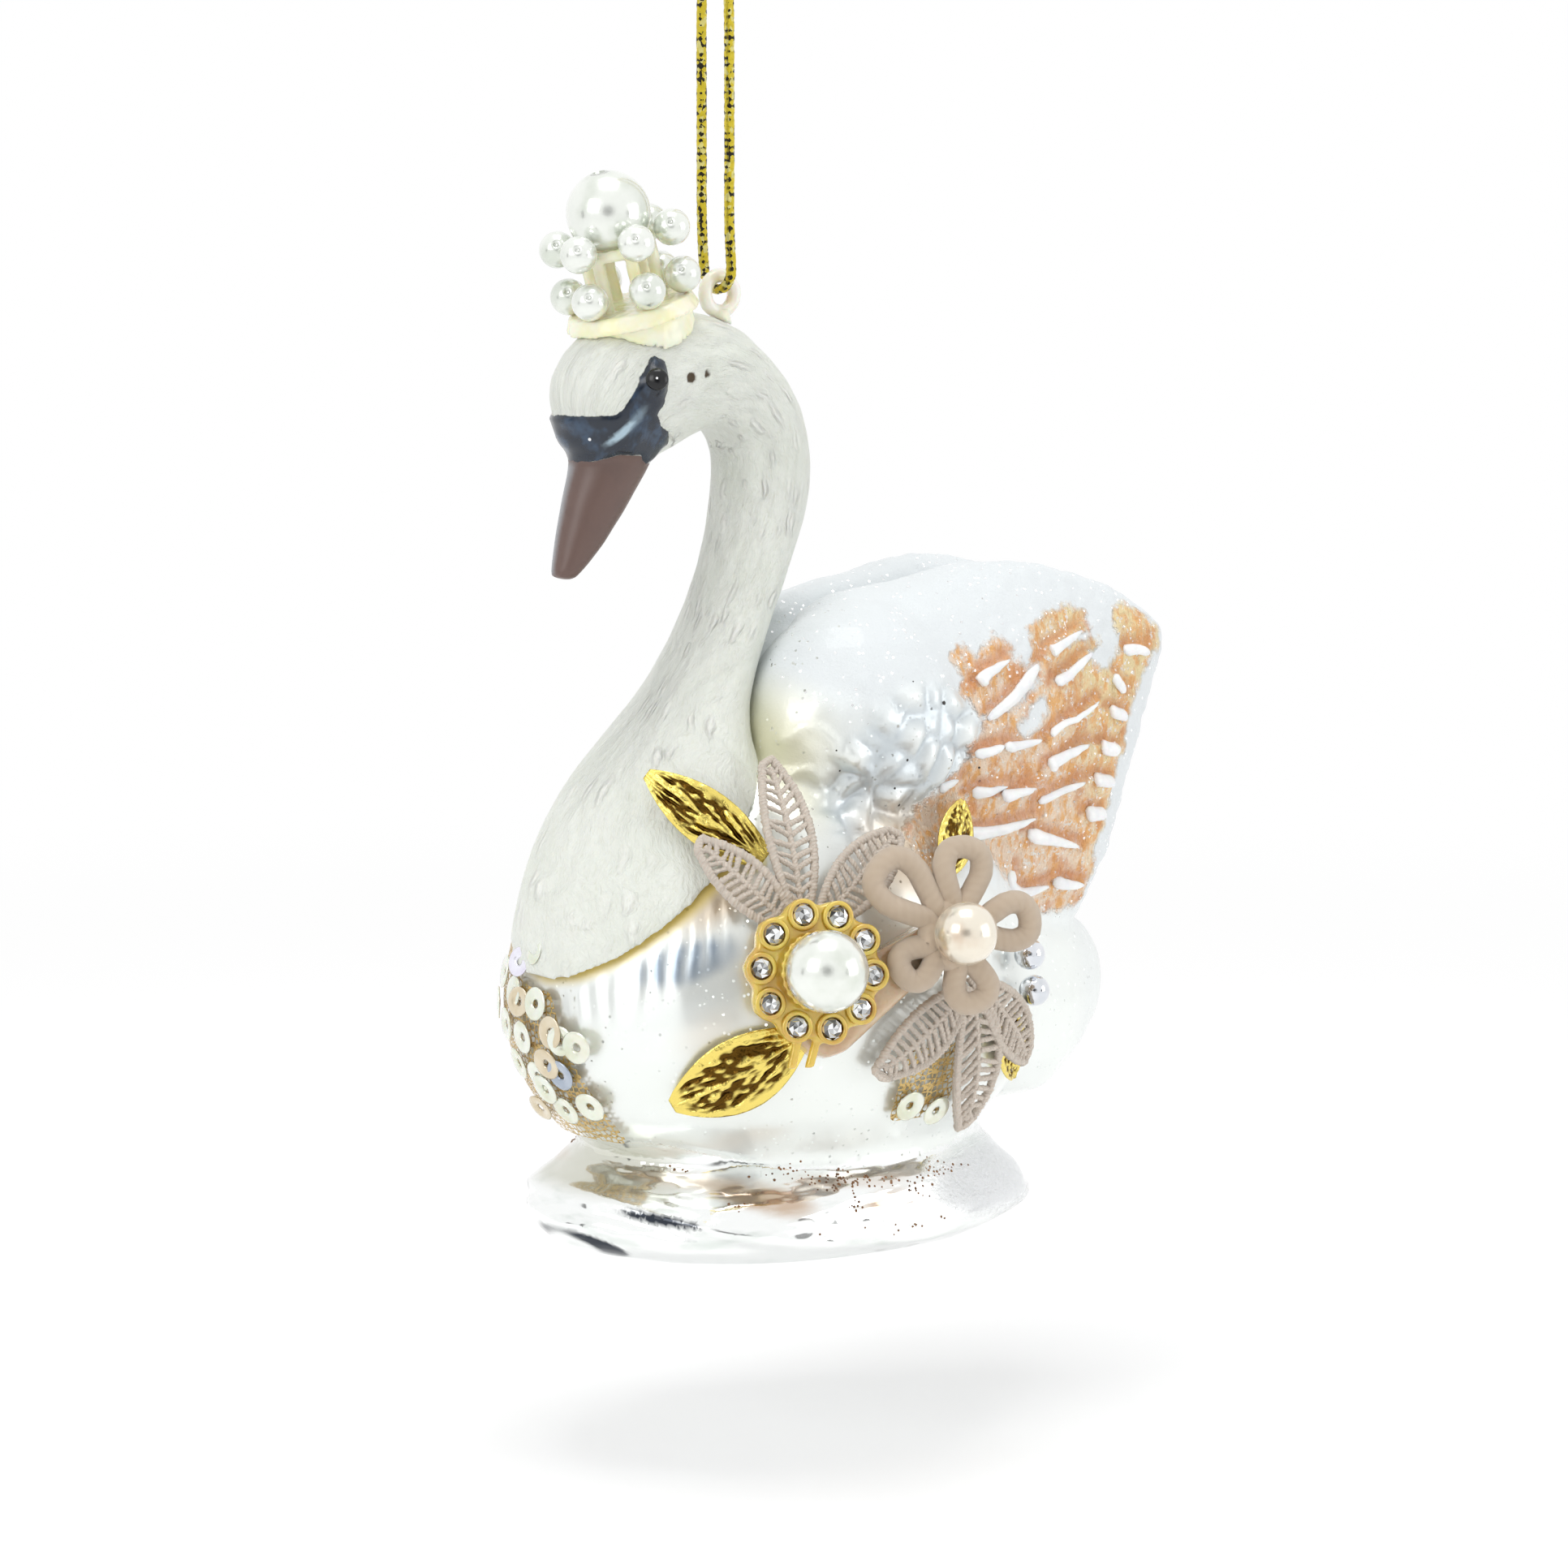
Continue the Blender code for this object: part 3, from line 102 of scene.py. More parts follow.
class Graph:
    """Adds and joins the nodes of one material, world or node group."""

    def __init__(self, tree: bpy.types.NodeTree) -> None:
        """Keeps the tree and empties it."""
        self.tree = tree
        tree.nodes.clear()

    def add(self, kind: str, sockets: Optional[dict] = None, **settings: object) -> Node:
        """Adds a node.

        Args:
            kind: the node's type name, without the ShaderNode in front.
            sockets: values or outputs by input name or index.
            settings: the node's own options.

        Returns:
            The new node.
        """
        node = self.tree.nodes.new(kind if kind.startswith("Node") else "ShaderNode" + kind)
        for name, value in settings.items():
            setattr(node, name, value)
        for name, value in (sockets or {}).items():
            target = node.inputs[name]
            if isinstance(value, Socket):
                self.tree.links.new(value, target)
            else:
                target.default_value = value
        return node

    def math(self, operation: str, first: object, second: object = 0.0, clamp: bool = False) -> Socket:
        """Returns the result of one sum on values or outputs."""
        return self.add("Math", {0: first, 1: second}, operation=operation, use_clamp=clamp).outputs[0]

    def times(self, first: object, second: object, clamp: bool = False) -> Socket:
        """Returns the product of two values or outputs."""
        return self.math("MULTIPLY", first, second, clamp)

    def rest(self, share: object) -> Socket:
        """Returns what a share leaves of 1."""
        return self.math("SUBTRACT", 1.0, share)

    def mix(self, share: object, first: object, second: object) -> Socket:
        """Returns a colour between two, by a share from 0 to 1."""
        return self.add("Mix", {0: share, 6: first, 7: second}, data_type="RGBA").outputs[2]

    def blend(self, share: object, first: object, second: object) -> Socket:
        """Returns a value between two, by a share from 0 to 1."""
        return self.add("Mix", {0: share, 2: first, 3: second}, data_type="FLOAT").outputs[0]

    def step(self, value: object, low: float, high: float) -> Socket:
        """Returns 0 below low, 1 above high and a smooth rise between."""
        sockets = {"Value": value, "From Min": low, "From Max": high}
        return self.add("MapRange", sockets, interpolation_type="SMOOTHSTEP").outputs[0]

    def place(self) -> Socket:
        """Returns the object coordinates."""
        return self.add("TexCoord").outputs["Object"]

    def read(self, attribute: str, output: str = "Fac") -> Socket:
        """Returns a mesh attribute's value, Color or Vector."""
        return self.add("Attribute", attribute_name=attribute).outputs[output]

    def stretch(self, vector: object, scale: Sequence[float]) -> Socket:
        """Returns coordinates multiplied by a scale for each axis."""
        return self.add("Mapping", {"Vector": vector, "Scale": tuple(scale)}).outputs[0]

    def noise(self, vector: object, scale: float, detail: float = 3.0, rough: float = 0.5) -> Socket:
        """Returns cloudy noise from 0 to 1."""
        sockets = {"Vector": vector, "Scale": scale, "Detail": detail, "Roughness": rough}
        return self.add("TexNoise", sockets).outputs["Fac"]

    def cells(self, vector: object, scale: float, feature: str = "F1", random_share: float = 1.0) -> Node:
        """Returns a cell texture node."""
        sockets = {"Vector": vector, "Scale": scale, "Randomness": random_share}
        return self.add("TexVoronoi", sockets, feature=feature)

    def bump(self, height: object, depth: float, normal: object = None, strength: float = 1.0) -> Socket:
        """Returns a normal bent by a height whose full swing is depth metres."""
        sockets = {"Height": height, "Distance": depth, "Strength": strength}
        if normal is not None:
            sockets["Normal"] = normal
        return self.add("Bump", sockets).outputs[0]

    def group(self, tree: bpy.types.NodeTree, sockets: dict) -> Node:
        """Places a shared node group."""
        return self.add("Group", sockets, node_tree=tree)

    def surface(self, **sockets: object) -> Socket:
        """Returns a Principled BSDF; underscores in names stand for spaces."""
        node = self.add("BsdfPrincipled", {k.replace("_", " "): v for k, v in sockets.items()})
        return node.outputs[0]


def open_group(name: str, inputs: dict[str, str], outputs: dict[str, str]) -> tuple[Graph, dict, Node]:
    """Starts a shared node group.

    Args:
        name: the group's name.
        inputs: each input's kind by its name.
        outputs: each output's kind by its name.

    Returns:
        The graph, the group's inputs as outputs of its input node, and its output node.
    """
    tree = bpy.data.node_groups.new(name, "ShaderNodeTree")
    for side, table in (("INPUT", inputs), ("OUTPUT", outputs)):
        for socket, kind in table.items():
            tree.interface.new_socket(name=socket, in_out=side, socket_type="NodeSocket" + kind)
    graph = Graph(tree)
    entry = graph.add("NodeGroupInput")
    leave = graph.add("NodeGroupOutput")
    return graph, {socket: entry.outputs[socket] for socket in inputs}, leave


class Effects:
    """The shared node groups, each built once."""

    @staticmethod
    def glitter() -> bpy.types.NodeTree:
        """Scattered mirror flakes: their mask, and a normal tilted flake by flake."""
        found = bpy.data.node_groups.get("glitter_flakes")
        if found:
            return found
        graph, given, leave = open_group(
            "glitter_flakes",
            {"Vector": "Vector", "Scale": "Float", "Share": "Float", "Normal": "Vector"},
            {"Mask": "Float", "Normal": "Vector"},
        )
        cells = graph.add("TexVoronoi", {"Vector": given["Vector"], "Scale": given["Scale"]})
        pick = graph.add("SeparateColor", {"Color": cells.outputs["Color"]})
        chosen = graph.math("LESS_THAN", pick.outputs[0], given["Share"])
        near = graph.math("LESS_THAN", cells.outputs["Distance"], 0.42)
        mask = graph.times(chosen, near)
        centre = (0.5, 0.5, 0.5)
        centred = graph.add("VectorMath", {0: cells.outputs["Color"], 1: centre}, operation="SUBTRACT")
        tilt = graph.add("VectorMath", {0: centred.outputs[0], "Scale": 1.1}, operation="SCALE")
        masked = graph.add("VectorMath", {0: tilt.outputs[0], "Scale": mask}, operation="SCALE")
        bent = graph.add("VectorMath", {0: given["Normal"], 1: masked.outputs[0]})
        unit = graph.add("VectorMath", {0: bent.outputs[0]}, operation="NORMALIZE")
        graph.tree.links.new(mask, leave.inputs["Mask"])
        graph.tree.links.new(unit.outputs[0], leave.inputs["Normal"])
        return graph.tree

    @staticmethod
    def twist() -> bpy.types.NodeTree:
        """Twisted plies along a thread: a height and a shade from the thread's own coordinates."""
        found = bpy.data.node_groups.get("twisted_plies")
        if found:
            return found
        graph, given, leave = open_group(
            "twisted_plies",
            {"Flow": "Vector", "Turns": "Float", "Pitch": "Float", "Fuzz": "Float", "Cross": "Float"},
            {"Height": "Float", "Shade": "Float"},
        )
        parts = graph.add("SeparateXYZ", {0: given["Flow"]})
        along = graph.times(parts.outputs[0], given["Pitch"])
        around = graph.times(parts.outputs[1], given["Turns"])
        first = graph.math("SINE", graph.times(graph.math("ADD", along, around), 2 * math.pi))
        second = graph.math("SINE", graph.times(graph.math("SUBTRACT", along, around), 2 * math.pi))
        ply = graph.blend(given["Cross"], first, graph.times(first, second))
        fuzz = graph.times(graph.noise(given["Flow"], 9000.0, 3.0, 0.7), given["Fuzz"])
        height = graph.math("ADD", graph.times(ply, 0.5), fuzz)
        graph.tree.links.new(height, leave.inputs["Height"])
        graph.tree.links.new(graph.math("ADD", graph.times(ply, 0.5), 0.5), leave.inputs["Shade"])
        return graph.tree


@dataclass(frozen=True)
class Finish:
    """A named surface finish, whose material is built once."""

    name: str

    def shade(self, graph: Graph) -> Socket:
        """Returns the surface shader."""
        raise NotImplementedError

    def material(self) -> bpy.types.Material:
        """Returns the finish's material."""
        found = bpy.data.materials.get(self.name)
        if found:
            return found
        material = bpy.data.materials.new(self.name)
        material.use_nodes = True
        graph = Graph(material.node_tree)
        graph.add("OutputMaterial", {"Surface": self.shade(graph)})
        return material


@dataclass(frozen=True)
class PearlFinish(Finish):
    """An imitation pearl: a soft mirror of cream lacquer over a bead."""

    colour: tuple = srgb(240, 243, 237)
    bloom: tuple = srgb(218, 224, 213)

    def shade(self, graph: Graph) -> Socket:
        """Returns the pearl's shader."""
        cloud = graph.noise(graph.place(), 180.0, 3.0)
        tint = graph.mix(graph.step(cloud, 0.42, 0.72), self.colour, self.bloom)
        grain = graph.bump(graph.noise(graph.place(), 2600.0, 2.0), 0.00001)
        return graph.surface(
            Base_Color=tint, Metallic=0.58, Roughness=0.19, Coat_Weight=0.7, Coat_Roughness=0.08,
            Normal=grain,
        )


@dataclass(frozen=True)
class GlassFinish(Finish):
    """Silvered glass with a satin pearl skin, sugared wings and painted feathers, with painted reflections by
    the collar and the spray and painted shade in its hollows.
    """

    pearl: tuple = srgb(244, 248, 245)
    mist: tuple = srgb(240, 244, 240)
    steel: tuple = srgb(158, 172, 186)
    blush: tuple = srgb(220, 200, 172)
    cream: tuple = srgb(240, 232, 176)
    shadow: tuple = srgb(172, 184, 194)
    sugar: tuple = srgb(230, 235, 237)
    sugar_shadow: tuple = srgb(192, 203, 210)
    peach: tuple = srgb(255, 230, 204)
    honey: tuple = srgb(255, 232, 178)
    ochre: tuple = srgb(250, 190, 118)
    rust_and_crease_shade: tuple = srgb(224, 146, 86)
    painted_glint: tuple = srgb(255, 250, 242)
    spark: tuple = srgb(255, 255, 255)
    glue: tuple = srgb(222, 198, 112)

    def orange(self, graph: Graph, place: Socket) -> Socket:
        """Returns the colour of the painted feathers, honey at the tips, with painted white glints and brown
        painted shade in the creases.
        """
        brush = graph.noise(graph.stretch(place, (1.0, 1.0, 0.45)), 760.0, 4.0, 0.65)
        patch = graph.noise(place, 260.0, 4.0, 0.65)
        fill = graph.mix(graph.read("sunny"), self.peach, self.honey)
        fill = graph.mix(graph.step(brush, 0.44, 0.62), fill, self.ochre)
        fill = graph.mix(graph.times(graph.step(patch, 0.50, 0.68), 0.7), fill, self.rust_and_crease_shade)
        # Painted highlight: scattered white glints in the orange paint.
        light = graph.step(graph.noise(place, 900.0, 5.0, 0.75), 0.57, 0.63)
        fill = graph.mix(light, fill, self.painted_glint)
        # Painted shade: the groove beside each white stroke darkens to rust.
        crease = graph.times(graph.read("hollow"), graph.blend(brush, 1.3, 0.1), True)
        return graph.mix(crease, fill, self.rust_and_crease_shade)

    def shade(self, graph: Graph) -> Socket:
        """Returns the shader of the glass above the plinth."""
        place = graph.place()
        frost = graph.read("frost")
        ragged = graph.times(graph.math("SUBTRACT", graph.noise(place, 520.0, 4.0, 0.6), 0.5), 3.2)
        paint = graph.step(graph.math("ADD", graph.read("paint"), ragged), -0.85, 0.45)
        cloud = graph.noise(place, 60.0, 3.0)
        skin = graph.mix(graph.step(cloud, 0.35, 0.75), self.pearl, self.mist)
        # Painted reflection: a blue-grey reflection by the collar is laid into the colour.
        skin = graph.mix(graph.read("steel"), skin, self.steel)
        sugar = graph.mix(graph.read("hollow"), self.sugar, self.sugar_shadow)
        skin = graph.mix(graph.times(graph.read("hollow"), 0.8), skin, self.shadow)
        base = graph.mix(frost, skin, sugar)
        # Painted reflection: a warm tan reflection of the spray and its leaves.
        base = graph.mix(graph.read("blush"), base, self.blush)
        base = graph.mix(graph.read("cream"), base, self.cream)
        base = graph.mix(paint, base, self.orange(graph, place))
        seam = graph.rest(graph.step(graph.read("seam"), 0.45, 1.7))
        seam = graph.times(seam, graph.read("collar"))
        base = graph.mix(seam, base, self.glue)
        matt = graph.math("MAXIMUM", graph.math("MAXIMUM", frost, paint), seam)
        crystals = graph.noise(place, 2300.0, 4.0, 0.7)
        grain = graph.blend(paint, graph.times(frost, 0.7), 1.0)
        tufts = graph.noise(graph.stretch(place, (2.0, 1.0, 1.0)), 700.0, 4.0, 0.7)
        normal = graph.bump(graph.times(crystals, grain), 0.00018)
        normal = graph.bump(graph.times(tufts, paint), 0.0008, normal)
        waves = graph.noise(graph.stretch(place, (1.0, 1.0, 0.45)), 160.0, 2.0)
        normal = graph.bump(waves, 0.0004, normal, 0.5)
        flakes = graph.group(
            Effects.glitter(), {"Vector": place, "Scale": 2300.0, "Share": 0.07, "Normal": normal}
        )
        sparkle = graph.times(flakes.outputs["Mask"], graph.math("MAXIMUM", frost, paint))
        base = graph.mix(graph.times(sparkle, 0.85), base, self.spark)
        metal = graph.blend(matt, 0.62, 0.0)
        metal = graph.math("MAXIMUM", metal, graph.times(sparkle, 0.9))
        rough = graph.blend(matt, 0.30, 0.50)
        rough = graph.blend(sparkle, rough, 0.12)
        gloss = graph.blend(paint, graph.blend(frost, 0.6, 0.30), 0.40)
        return graph.surface(
            Base_Color=base, Metallic=metal, Roughness=rough, Coat_Weight=gloss, Coat_Roughness=0.06,
            Normal=flakes.outputs["Normal"],
        )


@dataclass(frozen=True)
class WaterFinish(Finish):
    """The plinth's bright silvered glass, clouded tan, with painted dark reflections streaked in its folds.
    """

    silver: tuple = srgb(250, 252, 251)
    haze: tuple = srgb(226, 232, 228)
    moss: tuple = srgb(204, 204, 188)
    cloud: tuple = srgb(208, 186, 164)
    # Colour of the painted dark reflections.
    dark: tuple = srgb(34, 42, 54)
    foam: tuple = srgb(246, 248, 250)

    def shade(self, graph: Graph) -> Socket:
        """Returns the plinth's shader."""
        place = graph.place()
        swirl = graph.noise(graph.stretch(place, (1.0, 1.0, 3.5)), 130.0, 3.0)
        tan = graph.times(graph.read("tan"), graph.step(swirl, 0.10, 0.55))
        base = graph.mix(graph.step(swirl, 0.50, 0.75), self.silver, self.haze)
        base = graph.mix(graph.read("moss"), base, self.moss)
        base = graph.mix(tan, base, self.cloud)
        # Painted reflection: dark slivers along the plinth's waist and lip.
        base = graph.mix(graph.read("sliver"), base, self.dark)
        foam = graph.read("foam")
        base = graph.mix(foam, base, self.foam)
        crystals = graph.times(graph.noise(place, 1300.0, 4.0, 0.7), foam)
        waves = graph.noise(graph.stretch(place, (0.8, 0.8, 3.0)), 120.0, 2.0)
        normal = graph.bump(waves, 0.0010, graph.bump(crystals, 0.0007), 0.6)
        return graph.surface(
            Base_Color=base, Metallic=graph.blend(foam, 0.80, 0.2), Roughness=graph.blend(foam, 0.09, 0.4),
            Coat_Weight=0.5, Coat_Roughness=0.03, Normal=normal,
        )


@dataclass(frozen=True)
class PlumageFinish(Finish):
    """The neck's matt ivory with carved feather strokes, its glossy dark mask and brown beak, with painted
    highlights on the strokes and the mask, a painted reflection on the beak's side and painted shade in the
    grooves.
    """

    ivory: tuple = srgb(236, 239, 231)
    clouded: tuple = srgb(230, 234, 224)
    painted_barb_highlight: tuple = srgb(252, 252, 246)
    painted_groove_shade: tuple = srgb(218, 220, 204)
    pit: tuple = srgb(72, 56, 30)
    mask: tuple = srgb(19, 31, 46)
    painted_mask_sheen: tuple = srgb(48, 70, 94)
    painted_mask_glare: tuple = srgb(172, 196, 210)
    beak: tuple = srgb(106, 84, 77)
    beak_dark: tuple = srgb(98, 78, 72)
    painted_beak_reflection: tuple = srgb(158, 160, 164)

    def shade(self, graph: Graph) -> Socket:
        """Returns the neck's shader."""
        place = graph.place()
        flow = graph.read("flow", "Vector")
        wobble = graph.add("TexNoise", {"Vector": flow, "Scale": 260.0, "Detail": 2.0})
        drift = graph.add("VectorMath", {0: wobble.outputs["Color"], "Scale": 0.0022}, operation="SCALE")
        bent = graph.add("VectorMath", {0: flow, 1: drift.outputs[0]}).outputs[0]
        strokes = graph.cells(graph.stretch(bent, (1.0, 2.9, 2.9)), 215.0)
        pick = graph.add("SeparateColor", {"Color": strokes.outputs["Color"]}).outputs[0]
        stroke = graph.rest(graph.step(strokes.outputs["Distance"], 0.10, 0.50))
        stroke = graph.times(stroke, graph.step(pick, 0.25, 0.70))
        fine = graph.noise(graph.stretch(bent, (1.0, 5.0, 5.0)), 700.0, 4.0, 0.6)
        ragged = graph.times(graph.math("SUBTRACT", graph.noise(place, 900.0, 3.0), 0.5), 0.5)
        mask_depth = graph.math("ADD", graph.read("mask"), ragged)
        masked = graph.step(mask_depth, -0.06, 0.06)
        beaked = graph.step(graph.read("beak"), -0.06, 0.06)
        plain = graph.rest(graph.math("MAXIMUM", masked, beaked))
        cloud = graph.step(graph.noise(flow, 120.0, 3.0), 0.40, 0.80)
        skin = graph.mix(cloud, self.ivory, self.clouded)
        # Painted highlight: the raised strokes are lightened.
        skin = graph.mix(graph.times(stroke, 0.5), skin, self.painted_barb_highlight)
        # Painted shade: the fine carved grooves are darkened.
        skin = graph.mix(graph.step(fine, 0.55, 0.85), skin, self.painted_groove_shade)
        pits = graph.step(graph.read("pits"), 0.05, 0.5)
        skin = graph.mix(pits, skin, self.pit)
        brown = graph.mix(graph.step(graph.noise(place, 240.0, 3.0), 0.4, 0.8), self.beak, self.beak_dark)
        # Painted reflection: the side of the beak that faces one fixed direction turns pale grey.
        brown = graph.mix(graph.read("ridge"), brown, self.painted_beak_reflection)
        # Painted highlight: lighter blue patches on the glossy mask, then a pale painted glare on its knob.
        sweep = graph.noise(graph.stretch(place, (1.0, 0.6, 0.7)), 360.0, 3.0, 0.6)
        navy = graph.mix(graph.step(sweep, 0.52, 0.70), self.mask, self.painted_mask_sheen)
        navy = graph.mix(graph.read("streak"), navy, self.painted_mask_glare)
        base = graph.mix(masked, graph.mix(beaked, skin, brown), navy)
        carved = graph.math("SUBTRACT", stroke, graph.times(fine, 0.6))
        normal = graph.bump(graph.times(carved, plain), 0.00055)
        rough = graph.blend(masked, graph.blend(beaked, 0.40, 0.38), 0.24)
        coat = graph.times(masked, 0.25)
        return graph.surface(
            Base_Color=base, Roughness=rough, Coat_Weight=coat, Coat_Roughness=0.08, Normal=normal,
            Subsurface_Weight=0.08, Subsurface_Radius=(0.002, 0.0016, 0.001), Subsurface_Scale=1.0,
        )


@dataclass(frozen=True)
class MouldedFinish(Finish):
    """A glossy moulded or set material with soft clouds in it."""

    colour: tuple
    cloud: tuple
    roughness: float = 0.3
    coat: float = 0.5
    metallic: float = 0.0
    glow: float = 0.0
    ripple: float = 0.00006

    def shade(self, graph: Graph) -> Socket:
        """Returns the moulding's shader."""
        place = graph.place()
        tint = graph.mix(graph.step(graph.noise(place, 300.0, 3.0), 0.38, 0.70), self.colour, self.cloud)
        normal = graph.bump(graph.noise(place, 900.0, 2.0), self.ripple)
        return graph.surface(
            Base_Color=tint, Metallic=self.metallic, Roughness=self.roughness, Coat_Weight=self.coat,
            Coat_Roughness=0.08, Subsurface_Weight=self.glow, Subsurface_Scale=0.002, Normal=normal,
        )


@dataclass(frozen=True)
class ThreadFinish(Finish):
    """Twisted or fuzzy thread, dressed by its own length and turn."""

    colour: tuple
    shadow: tuple
    pitch: float
    turns: float
    fuzz: float = 0.8
    depth: float = 0.00012
    metallic: float = 0.0
    roughness: float = 0.75
    sheen: float = 0.3
    contrast: float = 0.6

    def shade(self, graph: Graph) -> Socket:
        """Returns the thread's shader."""
        flow = graph.read("flow", "Vector")
        ply = graph.group(
            Effects.twist(),
            {"Flow": flow, "Turns": self.turns, "Pitch": self.pitch, "Fuzz": self.fuzz, "Cross": 0.0},
        )
        dark = graph.times(graph.rest(ply.outputs["Shade"]), self.contrast)
        speck = graph.step(graph.noise(graph.place(), 2400.0, 2.0), 0.30, 0.62)
        dark = graph.times(dark, graph.blend(speck, 1.0, 0.55))
        tint = graph.mix(dark, self.colour, self.shadow)
        return graph.surface(
            Base_Color=tint, Metallic=self.metallic, Roughness=self.roughness, Sheen_Weight=self.sheen,
            Sheen_Roughness=0.5, Normal=graph.bump(ply.outputs["Height"], self.depth),
        )


@dataclass(frozen=True)
class BraidFinish(Finish):
    """Metallic gold strips braided over a dark core, flashing strip by strip."""

    gold: tuple = srgb(246, 222, 58)
    flash: tuple = srgb(255, 244, 150)
    core: tuple = srgb(34, 28, 6)

    def shade(self, graph: Graph) -> Socket:
        """Returns the braid's shader."""
        flow = graph.read("flow", "Vector")
        ply = graph.group(
            Effects.twist(), {"Flow": flow, "Turns": 2.0, "Pitch": BRAID_PITCH, "Fuzz": 0.4, "Cross": 1.0}
        )
        cells = graph.cells(graph.stretch(graph.place(), (1.0, 1.0, 0.7)), 2100.0)
        pick = graph.add("SeparateColor", {"Color": cells.outputs["Color"]})
        dark = graph.math("GREATER_THAN", graph.math("ADD", pick.outputs[0], ply.outputs["Shade"]), 1.27)
        pale = graph.math("GREATER_THAN", pick.outputs[1], 0.72)
        tint = graph.mix(pale, self.gold, self.flash)
        tint = graph.mix(dark, tint, self.core)
        normal = graph.bump(ply.outputs["Height"], 0.00035)
        return graph.surface(Base_Color=tint, Metallic=0.45, Roughness=0.32, Normal=normal)


@dataclass(frozen=True)
class FoilFinish(Finish):
    """Embossed gold foil, bright on its ridges, with painted dark reflections brown in its folds."""

    gold: tuple = srgb(240, 218, 118)
    painted_fold_reflection: tuple = srgb(92, 66, 22)

    def shade(self, graph: Graph) -> Socket:
        """Returns the foil's shader."""
        place = graph.place()
        crumple = graph.cells(place, 950.0)
        folds = graph.read("folds")
        # Painted reflection: dark brown in the folds.
        tint = graph.mix(graph.step(folds, 0.05, 0.62), self.gold, self.painted_fold_reflection)
        height = graph.math("ADD", crumple.outputs["Distance"], graph.noise(place, 1500.0, 3.0))
        return graph.surface(
            Base_Color=tint, Metallic=1.0, Roughness=0.24, Normal=graph.bump(height, 0.00016, None, 0.8)
        )


@dataclass(frozen=True)
class FacetFinish(Finish):
    """Cut and foiled crystal whose facets each take a dark or bright tint: a painted reflection."""

    dark: tuple = srgb(58, 58, 56)
    bright: tuple = srgb(252, 254, 255)

    def shade(self, graph: Graph) -> Socket:
        """Returns the crystal's shader."""
        facet = graph.read("facet")
        tint = graph.mix(facet, self.dark, self.bright)
        return graph.surface(
            Base_Color=tint, Metallic=0.85, Roughness=0.05, Coat_Weight=1.0, Coat_Roughness=0.02
        )


@dataclass(frozen=True)
class NetFinish(Finish):
    """Fine gold net, open between its threads."""

    colour: tuple = srgb(214, 184, 118)
    shadow: tuple = srgb(120, 92, 48)
    mesh_scale: float = 1250.0

    def shade(self, graph: Graph) -> Socket:
        """Returns the net's shader."""
        place = graph.place()
        web = graph.cells(place, self.mesh_scale, "DISTANCE_TO_EDGE", 0.55)
        thread = graph.rest(graph.step(web.outputs["Distance"], 0.09, 0.17))
        glint = graph.step(graph.noise(place, 3000.0, 2.0), 0.5, 0.7)
        tint = graph.mix(glint, self.colour, self.shadow)
        return graph.surface(
            Base_Color=tint, Metallic=0.5, Roughness=0.4, Alpha=thread, Normal=graph.bump(thread, 0.0001)
        )


PEARL = PearlFinish("pearl_lacquer")
BLUSH_PEARL = PearlFinish("blush_pearl_lacquer", srgb(240, 232, 216), srgb(214, 190, 164))
GLASS = GlassFinish("satin_silver_glass")
WATER = WaterFinish("water_glass")
PLUMAGE = PlumageFinish("carved_plumage")
CREAM = MouldedFinish("crown_cream", srgb(255, 252, 226), srgb(252, 246, 200), 0.30, 0.6, 0.0, 0.35)
MILKY = MouldedFinish("milky_plastic", srgb(254, 252, 242), srgb(250, 244, 222), 0.26, 0.6, 0.0, 0.45)
AMBER = MouldedFinish("amber_gold", srgb(226, 196, 84), srgb(206, 166, 70), 0.24, 0.9, 0.15, 0.3)
GLUE = MouldedFinish(
    "clear_amber_glue", srgb(206, 182, 150), srgb(190, 156, 118), 0.20, 0.9, 0.0, 0.35, 0.0002
)
JET = MouldedFinish("eye_jet", srgb(5, 6, 9), srgb(10, 12, 16), 0.22, 0.0)
# White of the painted highlight dots on the eyes and the mask.
GLINT = MouldedFinish("white_dot", srgb(250, 250, 250), srgb(240, 244, 248), 0.3)
CHROME = MouldedFinish("bright_silver", srgb(232, 234, 238), srgb(214, 218, 224), 0.08, 0.4, 1.0)
FEATHER_WHITE = MouldedFinish(
    "feather_white", srgb(250, 250, 250), srgb(240, 240, 242), 0.45, 0.5, 0.0, 0.1, 0.0002
)
SEQUIN_PALE = MouldedFinish("sequin_pale", srgb(240, 240, 226), srgb(222, 222, 196), 0.14, 1.0, 0.35, 0.2)
SEQUIN_BLUE = MouldedFinish("sequin_blue", srgb(160, 172, 188), srgb(176, 186, 200), 0.14, 1.0, 0.5)
CORD_GOLD = BraidFinish("braided_gold")
SOUTACHE = ThreadFinish(
    "soutache", srgb(214, 194, 170), srgb(190, 162, 136), 900.0, 3.0, 1.4, 0.00005, 0.0, 0.85, 0.5, 0.15
)
LACE = ThreadFinish(
    "lace_thread", srgb(255, 243, 228), srgb(246, 218, 196), 2200.0, 2.0, 1.0, 0.00012, 0.0, 0.8, 0.2, 0.4
)
SPECK = MouldedFinish("dark_speck", srgb(24, 20, 16), srgb(40, 32, 24), 0.4)
BROWN_GLITTER = MouldedFinish("brown_glitter", srgb(134, 92, 52), srgb(84, 52, 26), 0.2, 0.5, 0.5)
LILAC = MouldedFinish("sequin_lilac", srgb(226, 220, 240), srgb(240, 240, 250), 0.12, 1.0, 0.4)
BEIGE = MouldedFinish("sequin_beige", srgb(214, 198, 166), srgb(228, 216, 190), 0.16, 1.0, 0.3)
FOIL = FoilFinish("gold_foil")
CRYSTAL = FacetFinish("foiled_crystal")
